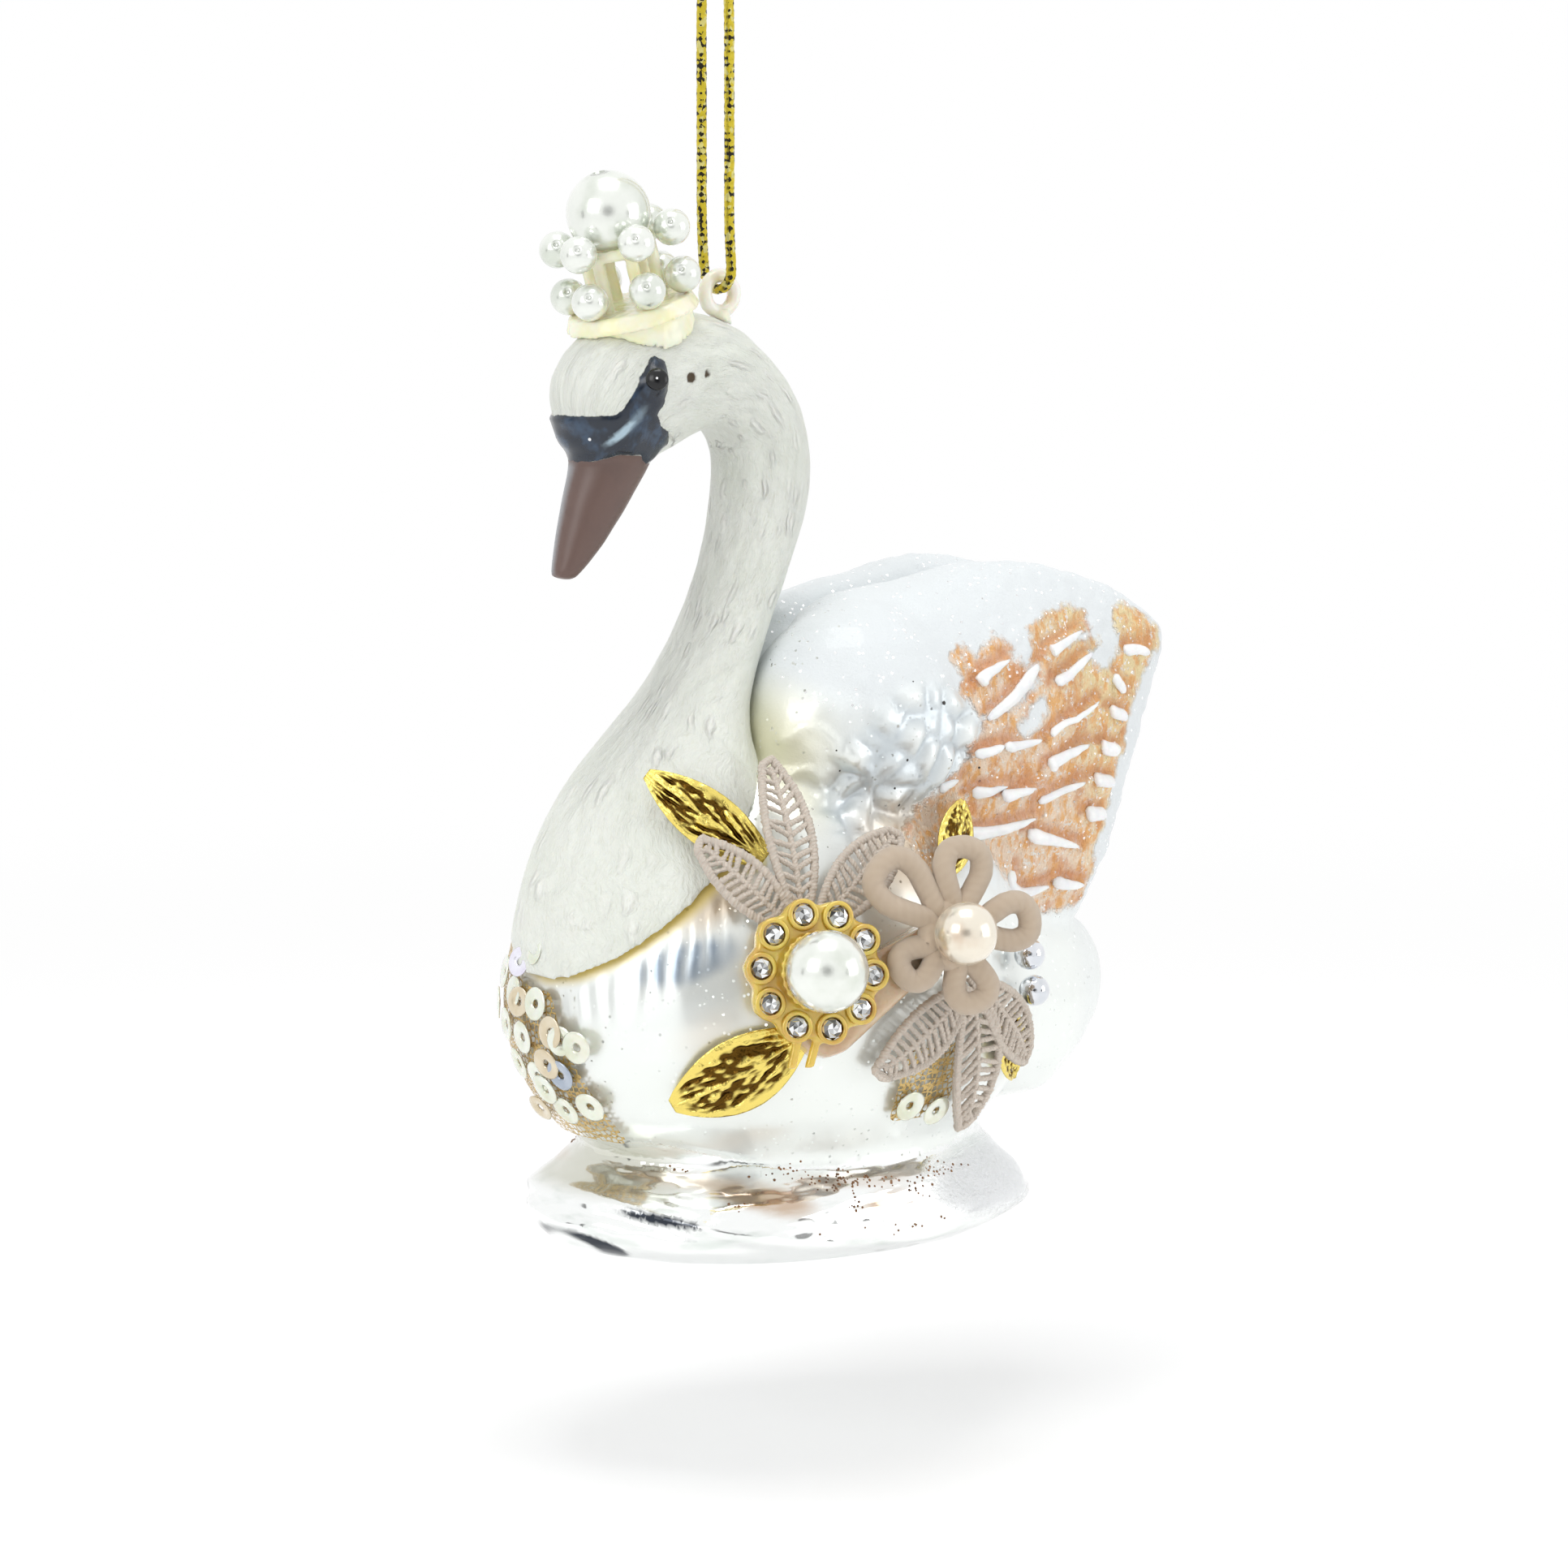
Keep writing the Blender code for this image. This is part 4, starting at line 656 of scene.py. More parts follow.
NET = NetFinish("gold_net")


def select_only(piece: Piece) -> None:
    """Leaves one piece selected and active."""
    bpy.ops.object.select_all(action="DESELECT")
    piece.select_set(True)
    bpy.context.view_layer.objects.active = piece


def link_mesh(name: str, mesh: bpy.types.Mesh) -> Piece:
    """Returns a new piece that shows a mesh."""
    piece = bpy.data.objects.new(name, mesh)
    bpy.context.scene.collection.objects.link(piece)
    return piece


def dress(piece: Piece, finish: Finish, slot: str, *nodes: str) -> Piece:
    """Gives a piece its finish and its body, and hides the solids that it stands for."""
    if not piece.data.materials:
        piece.data.materials.append(finish.material())
    else:
        piece.data.materials[0] = finish.material()
    if nodes:
        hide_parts(*nodes)
    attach(piece, BODY)
    log.info("%s: %d faces", piece.name, len(piece.data.polygons))
    return piece


def apply_modifier(piece: Piece, kind: str, **settings: object) -> None:
    """Adds one modifier to a piece and applies it."""
    select_only(piece)
    modifier = piece.modifiers.new(kind.lower(), kind)
    for name, value in settings.items():
        setattr(modifier, name, value)
    bpy.ops.object.modifier_apply(modifier=modifier.name)


def smooth_shading(piece: Piece) -> Piece:
    """Shades a piece smooth."""
    select_only(piece)
    bpy.ops.object.shade_smooth()
    return piece


def settle(piece: Piece, matrix: Optional[Matrix] = None) -> Piece:
    """Puts a piece's place into its mesh and shades it smooth."""
    if matrix is not None:
        piece.matrix_world = matrix @ piece.matrix_world
    bpy.context.view_layer.update()
    piece.data.transform(piece.matrix_world)
    piece.matrix_world = Matrix.Identity(4)
    return smooth_shading(piece)


def copy_piece(piece: Piece, name: str, matrix: Matrix) -> Piece:
    """Returns a moved copy of a piece with a mesh of its own."""
    copy = link_mesh(name, piece.data.copy())
    copy.data.transform(matrix)
    return copy


def solid_copy(node: str, name: str) -> Piece:
    """Returns a merged copy of a CAD node's mesh."""
    piece = link_mesh(name, bpy.data.objects[node].data.copy())
    piece.data.materials.clear()
    bm = bmesh.new()
    bm.from_mesh(piece.data)
    bmesh.ops.remove_doubles(bm, verts=bm.verts, dist=MERGE_DISTANCE)
    bm.to_mesh(piece.data)
    bm.free()
    return piece


def soften(piece: Piece, voxel: float, rounds: int) -> Piece:
    """Remeshes a piece into even quads and rounds its flats and edges."""
    apply_modifier(piece, "REMESH", mode="VOXEL", voxel_size=voxel)
    apply_modifier(piece, "SMOOTH", factor=0.5, iterations=rounds)
    return smooth_shading(piece)


def points_of(piece: Piece) -> np.ndarray:
    """Returns a mesh's points as rows of x, y, z."""
    flat = np.empty(len(piece.data.vertices) * 3)
    piece.data.vertices.foreach_get("co", flat)
    return flat.reshape(-1, 3)


def normals_of(piece: Piece) -> np.ndarray:
    """Returns a mesh's point normals as rows."""
    flat = np.empty(len(piece.data.vertices) * 3, np.float32)
    piece.data.vertex_normals.foreach_get("vector", flat)
    return flat.reshape(-1, 3).astype(float)


def push(piece: Piece, heights: np.ndarray) -> None:
    """Moves each point of a mesh along its normal by its height."""
    moved = points_of(piece) + normals_of(piece) * heights[:, None]
    piece.data.vertices.foreach_set("co", moved.ravel())
    piece.data.update()


def keep_values(piece: Piece, name: str, values: np.ndarray) -> None:
    """Stores one value, or one vector, for each point under an attribute's name."""
    kind = "FLOAT" if values.ndim == 1 else "FLOAT_VECTOR"
    layer = piece.data.attributes.new(name, kind, "POINT")
    layer.data.foreach_set("value" if kind == "FLOAT" else "vector", values.astype(np.float32).ravel())


def polygon_depth(points: np.ndarray, outline: Sequence[tuple[float, float]]) -> np.ndarray:
    """Returns how deep each flat point lies in an outline, negative outside."""
    inside = np.zeros(len(points), bool)
    nearest = np.full(len(points), 1e9)
    corners = np.array(outline, float)
    for first, second in zip(corners, np.roll(corners, -1, axis=0)):
        edge = second - first
        offset = points - first
        share = np.clip((offset @ edge) / (edge @ edge), 0.0, 1.0)
        nearest = np.minimum(nearest, np.linalg.norm(offset - share[:, None] * edge, axis=1))
        crosses = (first[1] > points[:, 1]) != (second[1] > points[:, 1])
        reach = first[0] + (points[:, 1] - first[1]) * edge[0] / (edge[1] if edge[1] else 1e-9)
        inside ^= crosses & (points[:, 0] < reach)
    return np.where(inside, nearest, -nearest)


def ease(values: np.ndarray, low: float, high: float) -> np.ndarray:
    """Returns a smooth rise from 0 at low to 1 at high."""
    share = np.clip((values - low) / (high - low), 0.0, 1.0)
    return share * share * (3 - 2 * share)


def cell_domes(points: np.ndarray, size: float, squash: Sequence[float] = (1, 1, 1)) -> np.ndarray:
    """Returns rounded cells: 0 in the creases between them and 1 on their tops."""
    scaled = points / size * np.array(squash)
    result = np.empty(len(points))
    for k, point in enumerate(scaled):
        near = noise.voronoi(Vector(point))[0]
        result[k] = min((near[1] - near[0]) * 1.6, 1.0)
    return result


def lumps(
    points: np.ndarray, size: float, squash: Sequence[float] = (1, 1, 1), detail: int = 2
) -> np.ndarray:
    """Returns smooth lumps from about -1 to 1."""
    scaled = points / size * np.array(squash)
    return np.array([noise.fractal(Vector(point), 1.0, 2.0, detail) for point in scaled])


def tube_mesh(
    route: Sequence[Vector],
    radius: Callable[[float], float],
    sides: int = 8,
    closed: bool = False,
    squash: float = 1.0,
    outward: Optional[Vector] = None,
    relief: Optional[Callable[[float, float], float]] = None,
) -> tuple[list[Vector], list[tuple], list[tuple]]:
    """Builds a tube along a route.

    Args:
        route: the centre line's points.
        radius: the radius at a share of the route from 0 to 1.
        sides: points round the tube.
        closed: whether the route's ends meet.
        squash: the tube's height over its width, along outward.
        outward: the direction of the squash, if there is one.
        relief: a factor on the radius, from metres along and a share round.

    Returns:
        The points, the faces and each point's length along and share round.
    """
    points: list[Vector] = []
    flow: list[tuple] = []
    count = len(route)
    travel = 0.0
    side = None
    for k, centre in enumerate(route):
        before = route[k - 1] if k or closed else centre
        after = route[(k + 1) % count] if k < count - 1 or closed else centre
        tangent = (after - before).normalized()
        if k:
            travel += (centre - route[k - 1]).length
        if outward is not None:
            side = tangent.cross(outward).normalized()
        elif side is None:
            side = tangent.orthogonal().normalized()
        else:
            side = (side - tangent * side.dot(tangent)).normalized()
        rise = side.cross(tangent)
        reach = radius(k / max(count - 1, 1))
        for j in range(sides):
            turn = 2 * math.pi * j / sides
            grow = relief(travel, j / sides) if relief else 1.0
            step = side * math.cos(turn) + rise * math.sin(turn) * squash
            points.append(centre + step * reach * grow)
            flow.append((travel, j / sides, 0.0))
    faces = []
    for k in range(count if closed else count - 1):
        for j in range(sides):
            n = (j + 1) % sides
            a, b = k * sides, ((k + 1) % count) * sides
            faces.append((a + j, b + j, b + n, a + n))
    if not closed:
        faces.append(tuple(range(sides)))
        faces.append(tuple((count - 1) * sides + j for j in reversed(range(sides))))
    return points, faces, flow


def piece_from_tubes(name: str, tubes: Iterable[tuple]) -> Piece:
    """Returns one piece that holds several tubes, with their flow kept."""
    points: list[Vector] = []
    faces: list[tuple] = []
    flow: list[tuple] = []
    for more_points, more_faces, more_flow in tubes:
        shift = len(points)
        points.extend(more_points)
        faces.extend(tuple(v + shift for v in face) for face in more_faces)
        flow.extend(more_flow)
    mesh = bpy.data.meshes.new(name)
    mesh.from_pydata([tuple(p) for p in points], [], faces)
    piece = link_mesh(name, mesh)
    bm = bmesh.new()
    bm.from_mesh(mesh)
    bmesh.ops.recalc_face_normals(bm, faces=bm.faces)
    bm.to_mesh(mesh)
    bm.free()
    keep_values(piece, "flow", np.array(flow))
    return smooth_shading(piece)


def smooth_route(points: Sequence[Vector], steps: int, closed: bool = False) -> list[Vector]:
    """Returns a finer route through points, as a Catmull-Rom curve."""
    count = len(points)
    route = []
    for k in range(count if closed else count - 1):
        p0 = points[(k - 1) % count] if closed or k else points[0]
        p1 = points[k]
        p2 = points[(k + 1) % count]
        p3 = points[(k + 2) % count] if closed or k < count - 2 else points[-1]
        for step in range(steps):
            t = step / steps
            route.append(
                0.5 * ((2 * p1) + (p2 - p0) * t + (2 * p0 - 5 * p1 + 4 * p2 - p3) * t * t
                       + (3 * p1 - p0 - 3 * p2 + p3) * t * t * t)
            )
    if not closed:
        route.append(points[-1].copy())
    return route


def node_matrix(node: str, facing: Vector) -> Matrix:
    """Returns a flat node's middle and axes, with Z along its thin direction towards facing."""
    points = points_of(bpy.data.objects[node])
    points = np.unique(points.round(7), axis=0)
    centre = points.mean(axis=0)
    _, _, axes = np.linalg.svd(points - centre)
    normal = Vector(axes[2])
    if normal.dot(facing) < 0:
        normal = -normal
    along = Vector(axes[0])
    turn = Matrix((along, normal.cross(along), normal)).transposed().to_4x4()
    return Matrix.Translation(Vector(centre)) @ turn


def middle(node: str) -> Vector:
    """Returns the middle of a CAD node's box."""
    low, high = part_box(node)
    return (low + high) / 2


def polar(reach: float, turn: float, height: float = 0.0) -> Vector:
    """Returns a point from its distance to the Z axis, its turn round it and its height."""
    return Vector((reach * math.cos(turn), reach * math.sin(turn), height))


def turn_to(direction: Vector) -> Matrix:
    """Returns the turn that brings Z to a direction."""
    return direction.to_track_quat("Z", "Y").to_matrix().to_4x4()


def search_tree(piece: Piece) -> BVHTree:
    """Returns a search tree of a piece's surface."""
    mesh = piece.data
    return BVHTree.FromPolygons(
        [vertex.co for vertex in mesh.vertices], [tuple(face.vertices) for face in mesh.polygons]
    )


@dataclass
class Studio:
    """A white studio: floor, soft lamps, reflected cards and the camera."""

    floor_drop: float = 0.026
    camera_distance: float = 0.600
    azimuth: float = math.radians(-38.0)
    elevation: float = math.radians(7.2)
    target: Vector = field(default_factory=lambda: Vector((10.194, -0.308, -110.1)) * MM)
    frame_tangent: float = 0.322
    floor_share: float = 0.95
    floor_light: float = 0.98
    lamp_size: float = 0.40

    def back(self) -> Vector:
        """Returns the direction from the swan to the camera."""
        return Vector((
            math.sin(self.azimuth) * math.cos(self.elevation),
            -math.cos(self.azimuth) * math.cos(self.elevation),
            math.sin(self.elevation),
        ))

    def build_camera(self) -> None:
        """Adds the camera at the viewing angle of the photograph."""
        data = bpy.data.cameras.new("camera")
        data.sensor_width = 36.0
        data.lens = 36.0 / self.frame_tangent
        data.clip_start = 0.01
        camera = bpy.data.objects.new("camera", data)
        camera.location = self.target + self.back() * self.camera_distance
        camera.rotation_euler = self.back().to_track_quat("Z", "Y").to_euler()
        bpy.context.scene.collection.objects.link(camera)
        bpy.context.scene.camera = camera

    def floor_shader(self, graph: Graph) -> Socket:
        """Returns a white floor that keeps the swan's shadow near it and glows white far from it."""
        reach = graph.add("VectorMath", {0: graph.place()}, operation="LENGTH").outputs["Value"]
        near = graph.rest(graph.step(reach, 0.16, 0.60))
        share = graph.times(near, self.floor_share)
        path = graph.add("LightPath")
        eye = graph.math("MAXIMUM", path.outputs["Is Camera Ray"], path.outputs["Is Glossy Ray"])
        eye = graph.math("MAXIMUM", eye, path.outputs["Is Transmission Ray"])
        seen = graph.rest(graph.times(share, self.floor_light))
        glow = graph.times(seen, graph.blend(eye, 0.55, 1.0))
        light = graph.add("Emission", {"Color": (1, 1, 1, 1), "Strength": glow})
        tint = graph.add("CombineColor", {0: share, 1: share, 2: share})
        matt = graph.add("BsdfDiffuse", {"Color": tint.outputs[0]})
        return graph.add("AddShader", {0: light.outputs[0], 1: matt.outputs[0]}).outputs[0]

    def build_floor(self) -> None:
        """Adds the pale floor below the hanging swan."""
        bpy.ops.mesh.primitive_circle_add(
            vertices=64, radius=4.0, fill_type="NGON", location=(0.0, 0.0, PLINTH_FOOT.z - self.floor_drop)
        )
        floor = bpy.context.object
        floor.name = "floor"
        material = bpy.data.materials.new("floor_white")
        material.use_nodes = True
        graph = Graph(material.node_tree)
        graph.add("OutputMaterial", {"Surface": self.floor_shader(graph)})
        floor.data.materials.append(material)

    def build_card(self, name: str, centre: Vector, size: tuple, shade: float, soft: float) -> None:
        """Adds a dark card that only mirrors see.

        Args:
            name: the card's name.
            centre: its middle.
            size: its width and height.
            shade: its brightness in the middle.
            soft: where its edge starts to brighten, as a share of its size.
        """
        bpy.ops.mesh.primitive_plane_add(size=1.0, location=centre)
        card = bpy.context.object
        card.name = name
        card.scale = (size[0], size[1], 1.0)
        aim = (self.target - centre).normalized()
        card.rotation_euler = aim.to_track_quat("Z", "Y").to_euler()
        card.visible_camera = False
        card.visible_diffuse = False
        card.visible_shadow = False
        card.visible_transmission = False
        material = bpy.data.materials.new(name)
        material.use_nodes = True
        graph = Graph(material.node_tree)
        reach = graph.add("VectorMath", {0: graph.place()}, operation="LENGTH").outputs["Value"]
        glow = graph.blend(graph.step(reach, soft, 0.5), shade, 1.0)
        light = graph.add("Emission", {"Color": (1.0, 1.0, 1.0, 1.0), "Strength": glow})
        graph.add("OutputMaterial", {"Surface": light.outputs[0]})
        card.data.materials.append(material)

    def build_lamp(self, name: str, place: Vector, size: float, watts: float) -> None:
        """Adds one soft square lamp that faces the swan."""
        data = bpy.data.lights.new(name, "AREA")
        data.size = size
        data.energy = watts
        lamp = bpy.data.objects.new(name, data)
        lamp.location = place
        lamp.rotation_euler = (place - self.target).to_track_quat("Z", "Y").to_euler()
        bpy.context.scene.collection.objects.link(lamp)

    def build_world(self) -> None:
        """Sets the white surroundings."""
        world = bpy.data.worlds.new("white_room")
        bpy.context.scene.world = world
        world.use_nodes = True
        graph = Graph(world.node_tree)
        path = graph.add("LightPath")
        eye = graph.math("MAXIMUM", path.outputs["Is Camera Ray"], path.outputs["Is Glossy Ray"])
        eye = graph.math("MAXIMUM", eye, path.outputs["Is Transmission Ray"])
        strength = graph.blend(eye, 0.75, 1.0)
        back = graph.add("Background", {"Color": (1, 1, 1, 1), "Strength": strength})
        graph.add("OutputWorld", {"Surface": back.outputs[0]})

    def build(self) -> None:
        """Builds the studio."""
        bpy.context.scene.view_settings.view_transform = "Standard"
        self.build_camera()
        self.build_world()
        self.build_floor()
        right = Vector((math.cos(self.azimuth), math.sin(self.azimuth), 0.0))
        up = Vector((0.0, 0.0, 1.0))
        back = self.back()
        for name, place, watts in (
            ("top_lamp", up * 0.75 + back * 0.05, 1.8),
            ("left_lamp", right * -0.50 + back * 0.58 + up * 0.24, 1.3),
            ("right_lamp", right * 0.70 + back * 0.20 + up * 0.10, 0.9),
        ):
            self.build_lamp(name, self.target + place, self.lamp_size, watts)
        for name, place, size, shade, soft in (
            ("camera_side", back * 0.95 + up * 0.05, (0.86, 0.78), 0.06, 0.05),
            ("left_card", right * -0.85 + back * 0.30 - up * 0.06, (0.16, 0.50), 0.08, 0.3),
            ("right_card", right * 0.80 + back * 0.55 - up * 0.02, (0.18, 0.40), 0.16, 0.3),
        ):
            self.build_card(name, self.target + place, size, shade, soft)
        log.info("studio built")


@dataclass
class HangingCord:
    """The braided gold cord through the eyelet and the knot that closes its loop."""

    diameter: float = 1.2 * MM
    step: float = 0.3 * MM
    lean: float = -0.6 * MM
    eyelet: Vector = field(default_factory=lambda: PLINTH_FOOT + Vector((-9.2, 0.0, 115.3)) * MM)
    rise: float = 0.5 * MM
    route: tuple = (
        (1.35, 0.36), (2.34, 1.35), (2.70, 2.70), (2.72, 8.0), (2.75, 16.0), (2.74, 24.0), (2.72, 32.0),
        (2.40, 38.0), (1.30, 42.0), (0.76, 44.6),
    )

    def centre_line(self) -> list[Vector]:
        """Returns the cord's points, through the same places as the solid's."""
        bight = self.eyelet + Vector((self.lean * 0.3, 0.0, self.rise))
        strand = [
            bight + Vector((self.lean * 0.7 * min(up / 8.0, 1.0), side * MM, up * MM))
            for side, up in self.route
        ]
        points = [Vector((p.x, -p.y, p.z)) for p in reversed(strand)] + [bight] + strand
        return smooth_route(points, 14)

    def build(self) -> None:
        """Builds the cord and its knot."""
        line = self.centre_line()

        def braid(along: float, share: float) -> float:
            """Returns the radius factor of crossing plies."""
            first = math.sin(2 * math.pi * (along * BRAID_PITCH + share * 2))
            second = math.sin(2 * math.pi * (along * BRAID_PITCH - share * 2 + 0.5))
            return 1.0 + 0.13 * max(first, second)

        tube = tube_mesh(line, lambda s: self.diameter / 2 * 0.94, 14, relief=braid)
        cord = piece_from_tubes("gold_cord", [tube])
        dress(cord, CORD_GOLD, "gold_cord", "hanging_cord")
        low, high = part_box("cord_knot")
        centre = (low + high) / 2
        radius = (high.z - low.z) / 2
        turns = []
        for k in range(121):
            t = 2 * math.pi * k / 120
            spread = 0.50 + 0.22 * math.cos(3 * t)
            turns.append(centre + radius * Vector((
                spread * math.cos(2 * t), spread * math.sin(2 * t), 0.52 * math.sin(3 * t)
            )))
        tube = tube_mesh(turns[:-1], lambda s: radius * 0.27, 8, True, relief=braid)
        knot = piece_from_tubes("gold_knot", [tube])
        dress(knot, CORD_GOLD, "gold_cord", "cord_knot")


@dataclass(frozen=True)
class Feather:
    """One raised white stroke: its half widths and its route over the wing, in millimetres."""

    start: float
    end: float
    route: tuple

    def reach(self, flat: np.ndarray) -> tuple[np.ndarray, np.ndarray]:
        """Returns each flat point's distance from the stroke, and whether it lies above it."""
        best = np.full(len(flat), 1e9)
        above = np.zeros(len(flat), bool)
        for first, second in zip(np.array(self.route), np.array(self.route)[1:]):
            edge = second - first
            offset = flat - first
            share = np.clip((offset @ edge) / (edge @ edge), 0.0, 1.0)
            distance = np.linalg.norm(offset - share[:, None] * edge, axis=1)
            closer = distance < best
            best = np.where(closer, distance, best)
            above = np.where(closer, edge[0] * offset[:, 1] - edge[1] * offset[:, 0] > 0, above)
        return best, above


FEATHERS = (
    Feather(0.62, 0.20, ((26.7, -97.3), (28.0, -96.1), (32.0, -94.8))),
    Feather(0.36, 0.60, ((27.3, -101.6), (30.2, -100.2), (33.7, -98.2), (36.9, -95.8))),
    Feather(0.45, 0.25, ((24.9, -105.8), (27.5, -105.5), (29.6, -105.1))),
    Feather(0.50, 0.18, ((29.6, -105.2), (32.4, -105.2), (36.4, -104.9))),
    Feather(0.55, 0.14, ((24.8, -110.5), (27.3, -110.5), (30.2, -110.1))),
    Feather(0.60, 0.18, ((29.2, -111.3), (31.7, -111.1), (35.1, -110.8))),
    Feather(0.32, 0.25, ((36.0, -112.6), (39.1, -111.8), (44.7, -111.0))),
    Feather(0.60, 0.20, ((23.8, -115.5), (27.3, -115.6), (32.3, -115.2), (35.4, -114.6))),
    Feather(0.70, 0.25, ((34.4, -116.4), (36.9, -117.2), (39.8, -117.9), (44.3, -119.1))),
    Feather(0.60, 0.30, ((32.3, -120.9), (32.0, -122.8), (35.0, -124.0), (39.4, -123.7))),
    Feather(0.55, 0.25, ((40.5, -123.1), (43.3, -123.9), (46.5, -124.3))),
    Feather(0.55, 0.20, ((39.3, -94.2), (40.7, -93.8), (46.1, -92.2))),
    Feather(0.50, 0.25, ((39.7, -98.1), (42.5, -97.2), (47.4, -95.0))),
    Feather(0.36, 0.14, ((38.3, -104.5), (39.9, -103.5), (44.4, -102.4), (47.8, -101.1))),
    Feather(0.65, 0.25, ((37.4, -108.3), (39.8, -107.5), (45.5, -106.3))),
    Feather(0.50, 0.40, ((53.9, -95.3), (56.0, -95.2), (58.9, -95.7))),
    Feather(0.50, 0.45, ((51.2, -98.1), (52.1, -99.2), (53.4, -100.3))),
    Feather(0.60, 0.50, ((50.3, -102.5), (52.0, -103.0), (53.5, -103.4))),
    Feather(0.65, 0.50, ((48.0, -106.7), (49.8, -107.2), (52.2, -107.4))),
    Feather(0.65, 0.50, ((46.8, -110.7), (49.0, -111.2), (51.1, -111.4))),
    Feather(0.65, 0.50, ((45.4, -115.0), (47.5, -115.2), (49.6, -115.4))),
    Feather(0.45, 0.20, ((19.5, -109.6), (20.7, -109.3), (22.6, -108.8))),
)


def ellipse(
    flat: np.ndarray, x: float, z: float, along: float, across: float, turn: float = 0.0, core: float = 0.55
) -> np.ndarray:
    """Returns 1 inside a turned ellipse's core, falling softly to 0 past its edge."""
    t = math.radians(turn)
    dx, dz = flat[:, 0] - x, flat[:, 1] - z
    u = (dx * math.cos(t) + dz * math.sin(t)) / along
    v = (dz * math.cos(t) - dx * math.sin(t)) / across
    return 1 - ease(np.hypot(u, v), core, 1.8 - core)


# Soft spots on the side view. The blue-grey one by the collar, the warm ones by the spray and the dark
# slivers at the plinth's waist are painted reflections; the tan, greenish and frosted ones mark the plinth's
# own glass.
STAINS_AND_REFLECTIONS = {
    "steel": ((1.0, -16.8, -127.6, 5.5, 2.2, 25.0),),
    "blush": (
        (0.8, -12.5, -120.8, 5.0, 1.8, 35.0, 0.2), (0.3, -15.5, -135.5, 3.5, 2.0, 40.0, 0.1),
        (0.85, 12.0, -116.5, 7.0, 5.5, 10.0, 0.3),
    ),
    "sliver": (
        (1.0, -17.7, -159.1, 2.9, 0.60, -12.0, 0.75), (1.0, -21.3, -163.2, 3.4, 0.55, -34.0, 0.7),
        (1.0, -15.4, -150.2, 2.4, 0.55, -6.0, 0.7), (0.5, 24.0, -160.6, 4.0, 0.6, 5.0),
    ),
    "tan": (
        (1.0, -7.8, -156.5, 5.6, 1.9, -14.0), (1.0, 8.6, -158.2, 5.0, 1.6, 2.0),
        (0.7, 25.8, -157.1, 3.2, 1.5, 5.0), (0.4, -14.7, -154.8, 3.0, 0.9),
        (0.35, 4.0, -155.3, 9.0, 1.0, -4.0),
    ),
    "moss": ((0.8, -19.5, -154.4, 6.5, 3.2),),
    "foam": ((1.0, 27.0, -158.0, 13.0, 4.2),),
}


def stain_and_reflection(flat: np.ndarray, name: str) -> np.ndarray:
    """Returns how strongly one entry of the table tints each point of the side view, from 0 to 1.

    Some entries are painted reflections and the others tints of the glass. Each spot of an entry is its
    strength and then what ellipse() takes.
    """
    return np.clip(sum(weight * ellipse(flat, *spot) for weight, *spot in STAINS_AND_REFLECTIONS[name]), 0, 1)


